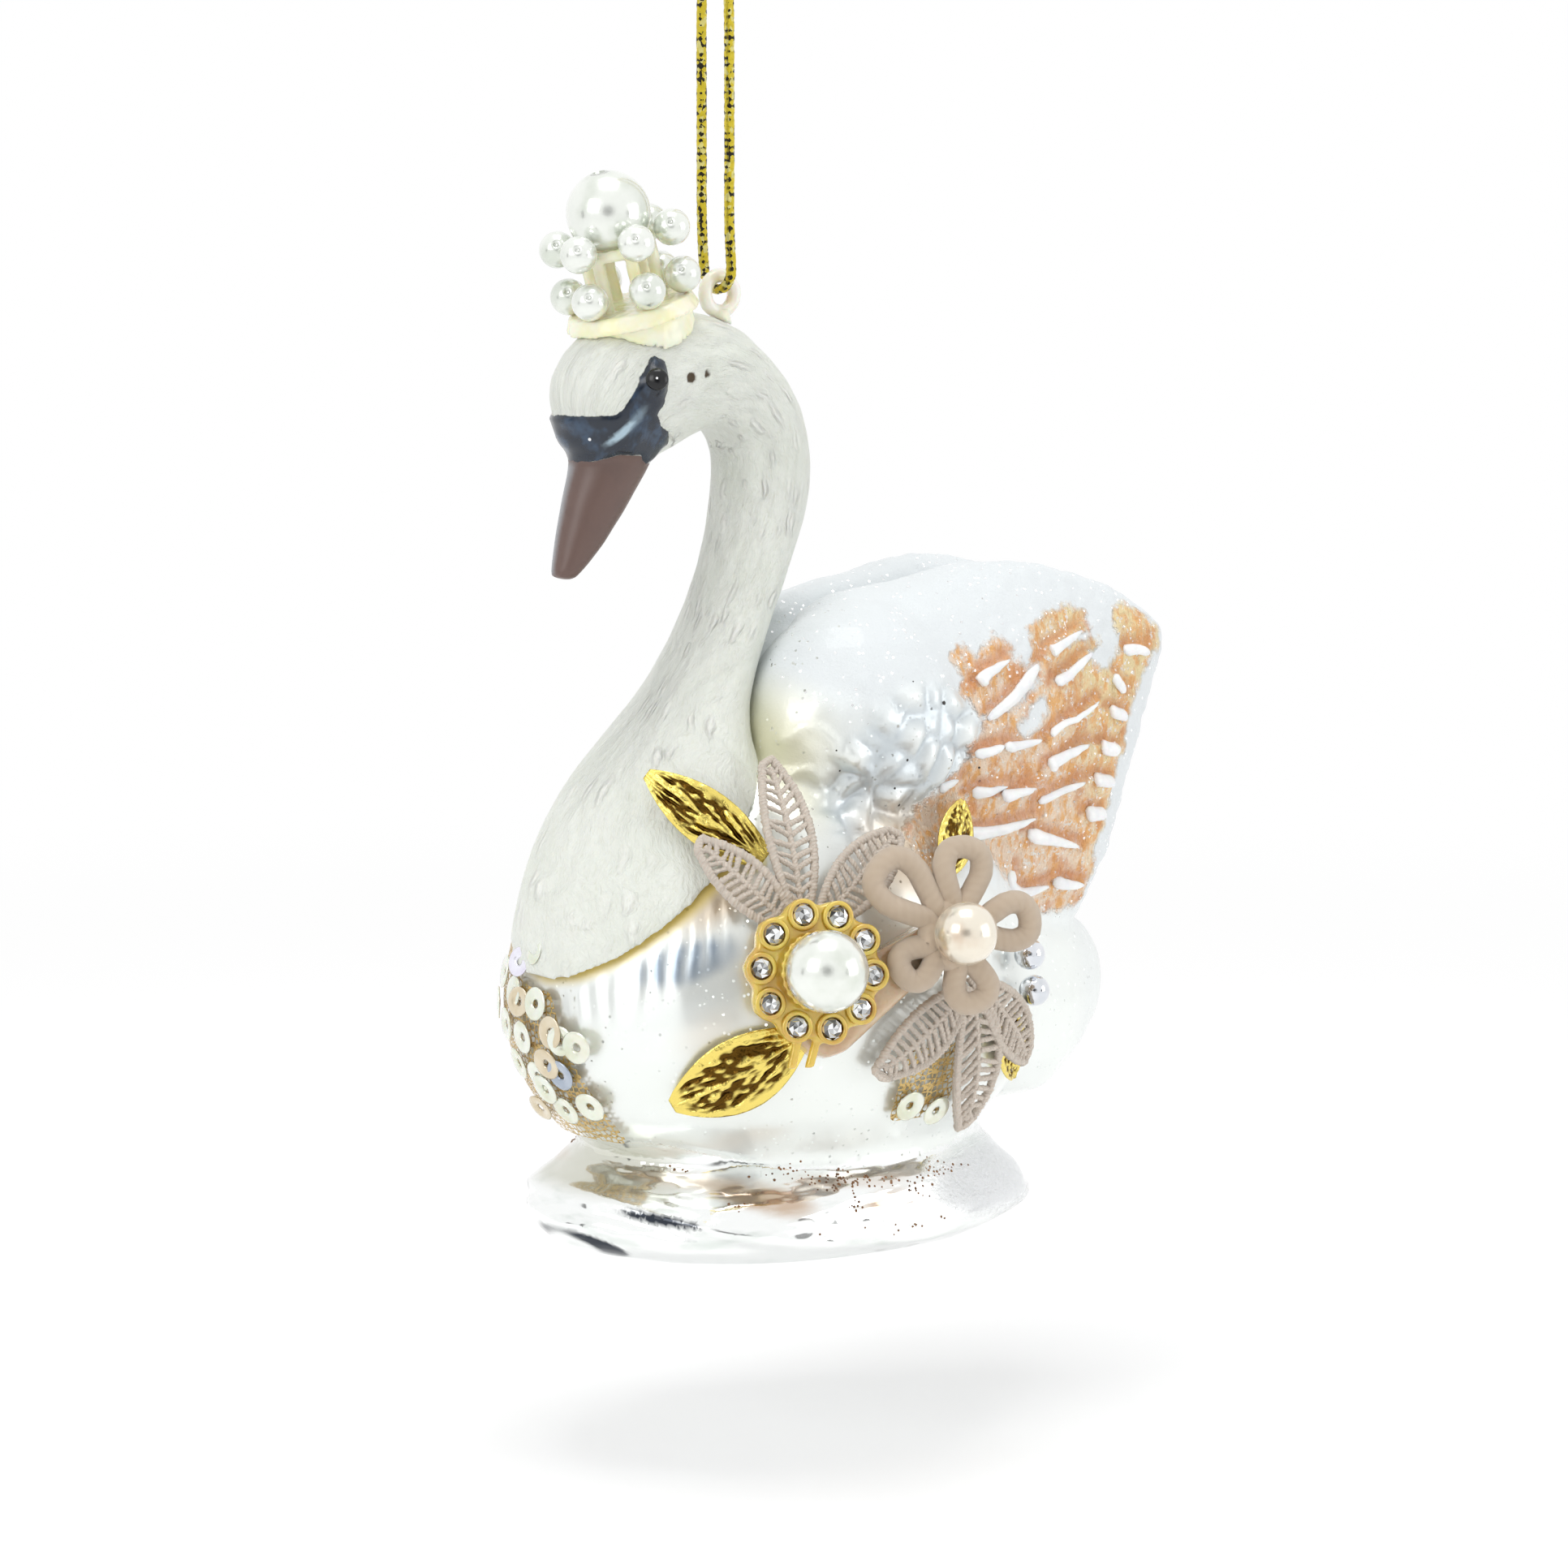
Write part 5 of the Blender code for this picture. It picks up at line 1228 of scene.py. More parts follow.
@dataclass
class GlassSwan:
    """The blown body with its raised wings, tail and water plinth."""

    voxel: float = 0.57 * MM
    waist_line: tuple = (
        (-40.0, -150.4), (-15.5, -150.6), (-12.1, -151.6), (-6.4, -153.0), (-0.6, -153.7), (6.3, -154.2),
        (15.4, -154.0), (24.0, -153.2), (32.0, -151.6), (60.0, -150.6),
    )
    lip_line: tuple = (
        (-40.0, -156.6), (-21.5, -157.2), (-19.3, -158.0), (-15.5, -159.4), (-9.9, -160.9), (-4.8, -162.0),
        (2.8, -162.6), (11.2, -162.9), (23.1, -162.9), (33.2, -161.8), (60.0, -160.0),
    )
    field_outline: tuple = (
        (13.7, -114.0), (16.9, -111.7), (20.0, -109.9), (22.2, -108.3), (24.5, -105.7), (24.4, -104.8),
        (26.7, -102.9), (26.2, -100.7), (24.4, -98.8), (23.1, -98.0), (24.6, -96.4), (22.7, -94.4),
        (24.8, -92.8), (27.0, -93.9), (28.7, -92.6), (30.9, -92.0), (32.7, -93.3), (32.4, -94.5),
        (35.4, -95.7), (36.8, -93.8), (36.8, -91.0), (41.2, -89.6), (44.4, -89.0), (47.7, -89.8),
        (46.5, -91.0), (47.2, -92.5), (51.9, -92.8), (53.5, -90.4), (55.6, -89.6), (59.6, -90.9),
        (62.1, -93.1), (62.8, -95.0), (60.1, -96.2), (58.1, -97.8), (56.5, -99.8), (55.0, -101.4),
        (54.9, -103.2), (53.3, -105.4), (53.0, -107.8), (51.6, -109.4), (51.3, -112.0), (50.1, -114.0),
        (49.8, -117.0), (47.9, -119.0), (48.0, -122.6), (47.0, -126.0), (45.4, -127.1), (39.1, -126.9),
        (35.0, -124.0), (30.8, -121.4), (28.8, -119.6), (27.4, -116.3), (23.3, -115.9), (20.0, -117.5),
        (13.0, -119.5),
    )
    webs: tuple = (
        (
            (35.4, -95.3), (37.2, -95.5), (37.1, -97.8), (34.4, -99.5), (31.9, -100.8), (29.1, -101.6),
            (27.3, -101.9), (26.3, -101.4), (28.8, -100.6), (32.1, -98.9), (34.3, -97.1),
        ),
        (
            (38.4, -98.8), (38.1, -101.6), (35.8, -103.6), (33.8, -104.5), (31.7, -103.7),
            (33.3, -101.9), (34.9, -100.0),
        ),
        (
            (46.1, -92.1), (48.5, -90.9), (51.2, -90.0), (52.7, -90.4), (53.2, -92.7), (53.1, -95.0),
            (50.3, -97.3), (48.6, -97.4), (47.2, -96.0), (44.3, -96.3), (40.0, -98.3), (39.5, -97.9),
            (43.9, -96.3), (46.9, -95.0), (49.2, -93.9), (46.4, -93.5), (43.5, -94.0), (40.5, -94.3),
            (39.3, -93.9), (42.7, -92.9),
        ),
    )
    pebble_outline: tuple = (
        (5.8, -103.0), (8.8, -99.7), (12.8, -97.0), (18.0, -96.3), (23.5, -97.8), (27.1, -102.5),
        (25.5, -106.8), (22.6, -109.1), (18.5, -110.8), (16.2, -113.5), (10.7, -116.4), (4.1, -116.1),
        (2.4, -111.2), (4.4, -106.5),
    )
    drips: tuple = (
        ((0.9, -102.9), (2.3, -101.1), (3.5, -101.5), (4.7, -103.0), (4.8, -104.5)),
        ((0.1, -107.8), (2.5, -106.5), (3.2, -106.7), (4.2, -108.2), (4.1, -109.7)),
        ((8.5, -95.9), (8.6, -97.3), (8.6, -99.2)),
        ((12.9, -99.4), (12.3, -101.0), (11.7, -102.9)),
        ((8.3, -106.3), (8.7, -107.3), (9.0, -108.3)),
    )

    def zones(self, points: np.ndarray, normals: np.ndarray) -> dict[str, np.ndarray]:
        """Returns how much of each finish every point takes."""
        flat = points[:, [0, 2]] * 1000
        outer = ease(np.sign(points[:, 1]) * normals[:, 1], 0.05, 0.35)
        field = polygon_depth(flat, self.field_outline)
        for web in self.webs:
            field = np.minimum(field, -polygon_depth(flat, web))
        wing = ease(flat[:, 1] + 0.32 * np.maximum(flat[:, 0] - 8, 0), -121.0, -112.0)
        wing *= ease(flat[:, 0] + 0.30 * (flat[:, 1] + 120), -2.0, 6.0)
        tail = ease(flat[:, 0], 44.0, 50.0) * ease(-flat[:, 1], 122.0, 126.0) * 0.35
        pebble = ease(polygon_depth(flat, self.pebble_outline), -1.5, 2.0) * outer
        smooth = ellipse(flat, 1.0, -104.0, 9.0, 8.0)
        crease = np.zeros(len(flat))
        ridge = np.zeros(len(flat))
        for feather in FEATHERS:
            distance, above = feather.reach(flat)
            crease = np.maximum(crease, np.exp(-(((distance - 1.0) / 0.9) ** 2)) * above)
            ridge = np.maximum(ridge, np.exp(-((distance / 0.9) ** 2)))
        return {
            "paint": np.where(outer > 0.5, field, -8.0),
            "frost": np.maximum(wing * (1 - 0.75 * pebble) * (1 - 0.6 * smooth), tail),
            "wing": wing, "outer": outer, "pebble": pebble, "crease": crease, "ridge": ridge,
            "cream": 0.6 * ellipse(flat, -2.0, -105.0, 5.5, 9.0, 0.0, 0.2) * wing,
            "sunny": ease(flat[:, 0] + 0.35 * (flat[:, 1] + 105), 36.0, 50.0),
        }

    def sculpt_wings(self, points: np.ndarray, zones: dict) -> tuple[np.ndarray, np.ndarray]:
        """Returns the wings' relief and how hollow each point lies."""
        flat = points[:, [0, 2]] * 1000
        pebbles = cell_domes(points, 4.2 * MM)
        cobbles = cell_domes(points, 3.0 * MM)
        tufts = cell_domes(points, 2.2 * MM, (1.2, 0.4, 0.8))
        inked = ease(zones["paint"], -0.5, 1.0)
        open_wing = zones["wing"] * (1 - inked)
        heights = (pebbles - 0.55) * 1.3 * MM * zones["pebble"] * (1 - inked)
        near_field = ease(flat[:, 0] - 0.4 * (flat[:, 1] + 100), 14.0, 34.0)
        heights += (cobbles - 0.6) * 0.30 * MM * open_wing * (1 - zones["pebble"]) * near_field
        heights += lumps(points, 7.0 * MM) * 0.30 * MM * open_wing
        heights += ((tufts - 0.5) * 0.45 - zones["crease"] * 0.45 + zones["ridge"] * 0.35) * MM * inked
        for drip in self.drips:
            distance, _ = Feather(0.3, 0.3, drip).reach(flat)
            heights += np.exp(-((distance / 0.55) ** 2)) * 0.42 * MM * zones["outer"]
        # Painted shade: the shader darkens the creases beside the strokes and the gaps between pebbles by
        # this value.
        hollow = zones["crease"] * inked + (1 - pebbles) * 0.8 * zones["pebble"] * (1 - inked)
        return heights, np.clip(hollow, 0.0, 1.0)

    def sculpt_plinth(self, points: np.ndarray, normals: np.ndarray, below: np.ndarray) -> np.ndarray:
        """Returns the plinth's relief: a hollow band, a lip and sweeping folds."""
        flat = points[:, [0, 2]] * 1000
        waist = np.interp(flat[:, 0], *zip(*self.waist_line))
        lip = np.interp(flat[:, 0], *zip(*self.lip_line))
        side = 1 - np.abs(normals[:, 2]) * 0.7
        band = np.exp(-(((flat[:, 1] - (waist + lip) / 2) / 2.6) ** 2))
        rim = np.exp(-(((flat[:, 1] - lip) / 0.9) ** 2))
        under = np.exp(-(((flat[:, 1] - lip + 1.7) / 0.8) ** 2))
        heights = below * side * (0.55 * rim - 0.45 * under - 0.35 * band) * MM
        heights += below * side * lumps(points, 15.0 * MM, (1.0, 1.0, 2.6), 1) * 0.75 * MM
        heights += below * side * lumps(points, 7.0 * MM, (0.7, 0.7, 2.4), 2) * 0.35 * MM
        heights -= np.exp(-(((flat[:, 1] - waist) / 0.5) ** 2)) * 0.35 * MM * side
        return heights

    def sculpt_body(self, piece: Piece) -> None:
        """Raises cobbled coverts, feathers and the plinth's folds, and keeps each point's tints, painted
        reflections and painted shade.
        """
        points = points_of(piece)
        normals = normals_of(piece)
        flat = points[:, [0, 2]] * 1000
        zones = self.zones(points, normals)
        heights, hollow = self.sculpt_wings(points, zones)
        below = 1 - ease(flat[:, 1] - np.interp(flat[:, 0], *zip(*self.waist_line)), -0.5, 0.5)
        heights += self.sculpt_plinth(points, normals, below)
        neck = search_tree(bpy.data.objects["swan_neck"])
        seam = np.array([min(neck.find_nearest(Vector(p))[3] * 1000, 20.0) for p in points])
        collar = ease(-flat[:, 1], 113.0, 118.0)
        across = flat[:, 0] * 0.9 + np.abs(points[:, 1]) * 600
        ripples = np.sin(across * 2.6 + lumps(points, 9.0 * MM) * 2.0)
        ripples *= ease(seam, 1.0, 2.2) * (1 - ease(seam, 4.0, 8.0))
        heights += ripples * 0.09 * MM * collar * (1 - below) * (1 - zones["wing"])
        push(piece, heights)
        near = ease(-points[:, 1] * 1000, -3.0, 3.0)
        # Painted reflections on the near flank only: the blue-grey one by the collar, rippled with the glass,
        # and the warm one by the spray.
        glints = 0.75 + 0.35 * np.clip(ripples, -1, 1)
        kept = {name: zones[name] for name in ("paint", "frost", "cream", "sunny")}
        kept |= {name: stain_and_reflection(flat, name) for name in ("sliver", "tan", "moss", "foam")}
        kept["steel"] = np.clip(stain_and_reflection(flat, "steel") * glints, 0, 1) * near
        kept["blush"] = stain_and_reflection(flat, "blush") * near
        kept |= {"hollow": hollow, "seam": seam, "collar": collar}
        for name, values in kept.items():
            keep_values(piece, name, values)

    def build(self) -> Piece:
        """Builds the dressed glass and returns it."""
        piece = soften(solid_copy("glass_body", "glass_swan"), self.voxel, 26)
        self.sculpt_body(piece)
        dress(piece, GLASS, "silvered_glass", "glass_body")
        piece.data.materials.append(WATER.material())
        for face in piece.data.polygons:
            if face.center.z * 1000 < np.interp(face.center.x * 1000, *zip(*self.waist_line)):
                face.material_index = 1
        return piece


@dataclass
class WingDetails:
    """Raised white strokes on both wings, dark specks in the sugar and brown glitter on the plinth."""

    specks: tuple = (
        (19.5, -99.0, 0.30), (14.8, -96.1, 0.12), (13.6, -105.5, 0.20), (20.3, -106.0, 0.13),
        (12.3, -108.9, 0.17), (13.5, -111.1, 0.22), (4.6, -103.9, 0.13), (5.7, -106.5, 0.15),
        (0.6, -112.5, 0.20), (-0.3, -112.9, 0.22), (25.6, -107.4, 0.17), (29.2, -115.6, 0.20),
        (-8.0, -142.5, 0.15),
    )
    clusters: tuple = (
        (-3.5, -153.9, 3.6, 0.9, 22), (1.5, -155.2, 3.2, 1.0, 34), (5.5, -155.8, 4.5, 0.9, 34),
        (3.2, -157.9, 1.3, 1.2, 12), (12.2, -157.0, 2.2, 1.2, 16), (17.5, -155.8, 4.0, 1.0, 26),
        (-11.0, -157.3, 1.2, 0.6, 5), (-13.6, -153.6, 0.7, 1.0, 6), (10.0, -161.5, 8.0, 0.8, 12),
    )
    cluster_spread: float = 0.55
    grain_radius: tuple = (0.10, 0.22)

    @staticmethod
    def cast(tree: BVHTree, side: Side, x: float, z: float) -> Optional[tuple[Vector, Vector]]:
        """Returns the flank's point and normal at an x and z."""
        start = Vector((x * MM, side.value * 0.06, z * MM))
        place, normal, _, _ = tree.ray_cast(start, Vector((0, -side.value, 0)))
        return None if place is None or abs(place.y) < 0.003 else (place, normal)

    def stroke(self, tree: BVHTree, side: Side, feather: Feather) -> Optional[tuple]:
        """Returns one stroke's tube, laid on the wing."""
        points = [Vector((x, 0.0, z)) for x, z in feather.route]
        found = [self.cast(tree, side, p.x, p.z) for p in smooth_route(points, 6)]
        found = [hit for hit in found if hit]
        if len(found) < 4:
            return None
        outward = sum((normal for _, normal in found), Vector()).normalized()

        def taper(share: float) -> float:
            """Returns the stroke's half width, blunt at its root."""
            blunt = min(1.0, 0.45 + 3.5 * share) * min(1.0, 0.35 + 3.0 * (1 - share))
            return 1.7 * (feather.start + (feather.end - feather.start) * share) * MM * blunt

        route = [place + normal * 0.10 * MM for place, normal in found]
        return tube_mesh(route, taper, 10, squash=0.55, outward=outward)

    def dots(self, name: str, tree: BVHTree, spots: Iterable[tuple], finish: Finish) -> None:
        """Builds one piece of tiny flat grains, each seated on the glass."""
        bm = bmesh.new()
        for side, x, z, radius in spots:
            found = self.cast(tree, side, x, z)
            if found:
                turn = turn_to(found[1])
                matrix = Matrix.Translation(found[0]) @ turn @ Matrix.Diagonal((1.0, 1.0, 0.6, 1.0))
                bmesh.ops.create_icosphere(bm, subdivisions=1, radius=radius * MM, matrix=matrix)
        mesh = bpy.data.meshes.new(name)
        bm.to_mesh(mesh)
        bm.free()
        dress(link_mesh(name, mesh), finish, "silvered_glass")

    def build(self, glass: Piece) -> None:
        """Builds the strokes of both wings and the grains."""
        tree = search_tree(glass)
        for side in Side:
            tubes = [self.stroke(tree, side, feather) for feather in FEATHERS]
            piece = piece_from_tubes(f"feather_strokes_{side.name.lower()}", [t for t in tubes if t])
            dress(piece, FEATHER_WHITE, "silvered_glass")
        self.dots("sugar_specks", tree, [(Side.NEAR, *speck) for speck in self.specks], SPECK)
        chooser = random.Random(31)
        spread = self.cluster_spread
        grains = [
            (
                side, chooser.gauss(x, wide * spread), chooser.gauss(z, high * spread),
                chooser.uniform(*self.grain_radius),
            )
            for side in Side for x, z, wide, high, count in self.clusters for _ in range(count)
        ]
        self.dots("plinth_glitter", tree, grains, BROWN_GLITTER)


@dataclass
class NeckAndHead:
    """The carved neck and head with its painted mask, beak and eyes."""

    voxel: float = 0.45 * MM
    spine: tuple = (
        (-12.6, -136.0), (-12.5, -118.0), (-11.6, -110.8), (-7.7, -102.5), (-0.8, -92.8), (5.4, -79.5),
        (6.7, -71.5), (5.3, -64.8), (-1.5, -59.9), (-10.7, -60.1), (-16.7, -63.8), (-17.0, -69.0),
        (-22.8, -83.5),
    )
    mask_outline: tuple = (
        (-14.4, -56.7), (-16.2, -58.9), (-17.1, -60.8), (-18.5, -62.9), (-19.5, -63.6), (-21.7, -63.8),
        (-25.0, -63.6), (-25.0, -66.0), (-23.5, -69.4), (-20.2, -69.2), (-18.0, -68.3), (-15.2, -68.5),
        (-14.0, -69.6), (-12.6, -69.2), (-10.6, -67.4), (-11.7, -65.8), (-13.2, -65.0), (-14.1, -63.6),
        (-13.3, -62.4), (-12.9, -59.0), (-13.0, -57.4),
    )
    beak_outline: tuple = (
        (-26.0, -67.8), (-20.2, -69.2), (-18.0, -68.3), (-15.2, -68.5), (-13.6, -69.4), (-8.0, -71.0),
        (-20.0, -90.0), (-32.0, -90.0),
    )
    painted_reflection_side: tuple = (-0.79, 0.61, 0.0)
    eye_place: tuple = (-15.2, -59.4)
    eye_radius: float = 1.35 * MM
    # The white dots on the eye and on the mask by the beak are painted highlights.
    eye_dot_radius: float = 0.24 * MM
    eye_dot_lift: float = 0.62 * MM
    painted_mask_glint_place: tuple = (-21.1, -66.5)
    painted_mask_glint_radius: float = 0.20 * MM
    pit_places: tuple = ((-9.4, -59.4, 0.55), (-6.8, -59.0, 0.32))

    def flow_of(self, points: np.ndarray) -> np.ndarray:
        """Returns each point's length along the neck and its place on a drum round it, in metres."""
        best = np.full(len(points), 1e9)
        flow = np.zeros((len(points), 3))
        flat = points[:, [0, 2]] * 1000
        travel = 0.0
        fine = smooth_route([Vector((x, 0.0, z)) for x, z in self.spine], 10)
        spine = np.array([(p.x, p.z) for p in fine])
        for first, second in zip(spine, spine[1:]):
            edge = second - first
            length = np.linalg.norm(edge)
            share = np.clip(((flat - first) @ edge) / length**2, 0.0, 1.0)
            offset = flat - first - share[:, None] * edge
            distance = np.linalg.norm(offset, axis=1)
            radial = (edge[0] * offset[:, 1] - edge[1] * offset[:, 0]) / length
            closer = distance < best
            best = np.where(closer, distance, best)
            turn = np.arctan2(radial, points[:, 1] * 1000)
            flow[closer, 0] = (travel + share * length)[closer] * MM
            flow[closer, 1] = (np.cos(turn) * 8.0)[closer] * MM
            flow[closer, 2] = (np.sin(turn) * 8.0)[closer] * MM
            travel += length
        return flow

    def sculpt(self, piece: Piece) -> None:
        """Raises the mask, dents the pits, carves the cheek, and keeps the paint's outlines, the painted
        highlight on the mask and the painted reflection on the beak's side.
        """
        points = points_of(piece)
        flat = points[:, [0, 2]] * 1000
        mask = polygon_depth(flat, self.mask_outline)
        beak = polygon_depth(flat, self.beak_outline)
        folds = lumps(points, 3.4 * MM, (1.0, 0.6, 1.0), 2)
        heights = ease(mask, -0.25, 0.5) * (0.32 + 0.30 * folds) * MM
        heights += lumps(points, 6.0 * MM, (1.0, 1.0, 0.6)) * 0.10 * MM * (1 - ease(mask, -0.5, 0.0))
        pits = np.zeros(len(flat))
        for x, z, size in self.pit_places:
            reach = np.hypot(flat[:, 0] - x, flat[:, 1] - z)
            heights -= np.exp(-((reach / size) ** 2)) * 0.35 * MM
            pits += np.exp(-((reach / (size * 1.1)) ** 4))
        cheek = np.exp(-((flat[:, 0] + 6.4) ** 2))
        cheek *= ease(flat[:, 1], -68.0, -62.0) * ease(-flat[:, 1], 56.0, 60.0)
        heights -= cheek * 0.22 * MM
        push(piece, heights)
        # Painted highlight: a pale glare on the mask's raised knob.
        streak = ellipse(flat, -18.4, -65.7, 1.9, 0.42, 48) + 0.35 * ellipse(flat, -17.2, -64.4, 2.4, 0.6, 52)
        keep_values(piece, "mask", mask)
        keep_values(piece, "beak", beak)
        keep_values(piece, "pits", pits)
        keep_values(piece, "streak", streak)
        # Painted reflection: beak points that face one fixed direction are marked for a pale grey tint.
        leftward = normals_of(piece) @ np.array(self.painted_reflection_side)
        keep_values(piece, "ridge", ease(leftward, 0.70, 0.98) * ease(beak, 0.0, 1.0))
        keep_values(piece, "flow", self.flow_of(points))

    def build_eye(self, tree: BVHTree, side: Side) -> None:
        """Builds one glossy eye with its painted highlight dot, and a painted highlight dot on the mask, each
        seated on the head.
        """
        for name, spot, radius, flatness, finish in (
            (f"eye_{side.name.lower()}", self.eye_place, self.eye_radius, 0.55, JET),
            (f"eye_dot_{side.name.lower()}", self.eye_place, self.eye_dot_radius, 0.6, GLINT),
            (f"nostril_dot_{side.name.lower()}", self.painted_mask_glint_place, self.painted_mask_glint_radius, 0.5, GLINT),
        ):
            start = Vector((spot[0] * MM, side.value * 0.03, spot[1] * MM))
            found = tree.ray_cast(start, Vector((0, -side.value, 0)))
            if found[0] is None:
                continue
            lift = self.eye_dot_lift if name.startswith("eye_dot") else 0.0
            place = Matrix.Translation(found[0] + found[1] * lift)
            turn = turn_to(found[1])
            bpy.ops.mesh.primitive_uv_sphere_add(segments=28, ring_count=16, radius=radius)
            piece = bpy.context.object
            piece.name = name
            settle(piece, place @ turn @ Matrix.Diagonal((1, 1, flatness, 1)))
            dress(piece, finish, "ivory_resin")

    def build(self) -> None:
        """Builds the neck, head and eyes."""
        piece = soften(solid_copy("swan_neck", "carved_neck"), self.voxel, 14)
        self.sculpt(piece)
        dress(piece, PLUMAGE, "ivory_resin", "swan_neck")
        tree = search_tree(piece)
        for side in Side:
            self.build_eye(tree, side)


@dataclass
class Pearls:
    """Round lacquered beads with a drilled hole, one model copied to each place."""

    segments: int = 40

    def model(self, radius: float) -> Piece:
        """Returns one pearl at the origin, its drill hole sunk at the top pole."""
        rings = self.segments // 2
        bpy.ops.mesh.primitive_uv_sphere_add(segments=self.segments, ring_count=rings, radius=radius)
        pearl = bpy.context.object
        bpy.ops.object.mode_set(mode="EDIT")
        bpy.ops.mesh.select_all(action="DESELECT")
        bpy.ops.object.mode_set(mode="OBJECT")
        for face in pearl.data.polygons:
            face.select = face.center.z > radius * 0.985
        bpy.ops.object.mode_set(mode="EDIT")
        bpy.ops.mesh.inset(thickness=radius * 0.03)
        bpy.ops.transform.translate(value=(0.0, 0.0, -radius * 0.16))
        bpy.ops.object.mode_set(mode="OBJECT")
        return settle(pearl)

    def build(self, nodes: Sequence[str], axis: Vector, finish: Finish = PEARL, grow: float = 1.0) -> None:
        """Builds a pearl for each node, its drill hole along an axis."""
        low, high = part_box(nodes[0])
        master = self.model((high.x - low.x + high.z - low.z) / 4 * grow)
        turn = turn_to(axis)
        for node in nodes:
            pearl = copy_piece(master, "dressed_" + node, Matrix.Translation(middle(node)) @ turn)
            dress(pearl, finish, "pearl", node)
        bpy.data.objects.remove(master)


@dataclass
class Crown:
    """The moulded crown, its eyelet behind it and its pearls."""

    lean: float = math.radians(16.0)
    posts: int = 6
    drilled_towards: tuple = (-0.6, -0.7, 0.3)
    pearl_growth: float = 1.09

    def build(self) -> None:
        """Builds the crown and the eyelet."""
        frame = soften(solid_copy("crown_frame", "cream_crown"), 0.22 * MM, 5)
        push(frame, (0.18 + 0.10 * lumps(points_of(frame), 1.3 * MM)) * MM)
        dress(frame, CREAM, "cream_crown", "crown_frame")
        eyelet = soften(solid_copy("hanging_eyelet", "milky_eyelet"), 0.16 * MM, 4)
        push(eyelet, (0.10 + 0.05 * lumps(points_of(eyelet), 1.0 * MM)) * MM)
        dress(eyelet, MILKY, "eyelet_plastic", "hanging_eyelet")
        upright = Vector((-math.sin(self.lean), 0.0, math.cos(self.lean)))
        outward = Vector(self.drilled_towards).normalized()
        pearls = Pearls()
        rows = [f"crown_{row}_pearl_{k + 1}" for row in ("lower", "upper") for k in range(self.posts)]
        pearls.build(rows, outward, grow=self.pearl_growth)
        pearls.build(["crown_top_pearl"], upright)


@dataclass
class Brooch:
    """The amber setting with its ring of stones round a pearl."""

    stones: int = 10
    stone_radius: float = 1.42 * MM
    stone_lift: float = 0.1 * MM
    rim_radius: float = 1.62 * MM
    rim_height: float = 0.12 * MM
    rim_thickness: float = 0.30 * MM
    bead_thickness: float = 0.24 * MM
    bead_count: int = 24
    facet_rows: tuple = ((1.0, -0.42, 0.0), (1.0, -0.10, 0.0), (0.80, 0.20, 0.5), (0.48, 0.36, 0.0))

    def stone_model(self) -> Piece:
        """Returns one cut stone with a table, two rows of crown facets and a girdle."""
        chooser = random.Random(4)
        rings = []
        for reach, height, offset in self.facet_rows:
            turns = [2 * math.pi * (k + offset) / 8 for k in range(8)]
            rings.append([polar(reach, turn, height) * self.stone_radius for turn in turns])
        bm = bmesh.new()
        loops = [[bm.verts.new(p) for p in ring] for ring in rings]
        for a, b in zip(loops, loops[1:]):
            for k in range(8):
                n = (k + 1) % 8
                bm.faces.new((a[k], a[n], b[k]))
                bm.faces.new((a[n], b[n], b[k]))
        bm.faces.new(loops[-1])
        bm.faces.new(list(reversed(loops[0])))
        bmesh.ops.poke(bm, faces=[f for f in bm.faces if len(f.verts) > 4])
        bmesh.ops.recalc_face_normals(bm, faces=bm.faces)
        mesh = bpy.data.meshes.new("cut_stone")
        bm.to_mesh(mesh)
        bm.free()
        # Painted reflection: each facet gets a random dark or bright tint.
        layer = mesh.attributes.new("facet", "FLOAT", "FACE")
        for value in layer.data:
            value.value = chooser.choice((0.05, 0.25, 0.55, 0.85, 1.0, 1.0))
        return link_mesh("cut_stone", mesh)

    def build(self) -> None:
        """Builds the setting, its stone rims, the stones and the pearl."""
        setting = soften(solid_copy("brooch_setting", "amber_brooch"), 0.22 * MM, 6)
        dress(setting, AMBER, "amber_setting", "brooch_setting")
        facing = node_matrix("brooch_setting", Vector((-0.3, -1.0, 0.0)))
        normal = facing.to_3x3().col[2].normalized()
        master = self.stone_model()
        chooser = random.Random(11)
        rims = []
        turn = turn_to(normal)
        for k in range(self.stones):
            node = f"rhinestone_{k + 1}"
            place = Matrix.Translation(middle(node) + normal * self.stone_lift) @ turn
            spin = Matrix.Rotation(chooser.uniform(0, 6.28), 4, "Z")
            stone = copy_piece(master, f"crystal_{k + 1}", place @ spin)
            shades = stone.data.attributes["facet"].data
            values = [item.value for item in shades]
            chooser.shuffle(values)
            for item, value in zip(shades, values):
                item.value = value
            dress(stone, CRYSTAL, "rhinestone", node)
            ring = [place @ polar(self.rim_radius, 2 * math.pi * j / 24, self.rim_height) for j in range(24)]
            rims.append(tube_mesh(ring, lambda s: self.rim_thickness, 8, True))
        bpy.data.objects.remove(master)
        low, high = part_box("brooch_pearl")
        centre = middle("brooch_pearl")
        radius = (high.x - low.x) / 2
        seat = Matrix.Translation(centre - normal * radius * 0.55) @ turn
        ring = [seat @ polar(radius * 0.93, 2 * math.pi * j / 96) for j in range(96)]

        def beading(share: float) -> float:
            """Returns the beaded rim's half width."""
            return self.bead_thickness * (1.0 + 0.5 * math.sin(share * 2 * math.pi * self.bead_count))

        rims.append(tube_mesh(ring, beading, 8, True))
        beads = piece_from_tubes("brooch_rims", rims)
        dress(beads, AMBER, "amber_setting")
        Pearls(56).build(["brooch_pearl"], Vector((1.0, 0.0, 0.2)))


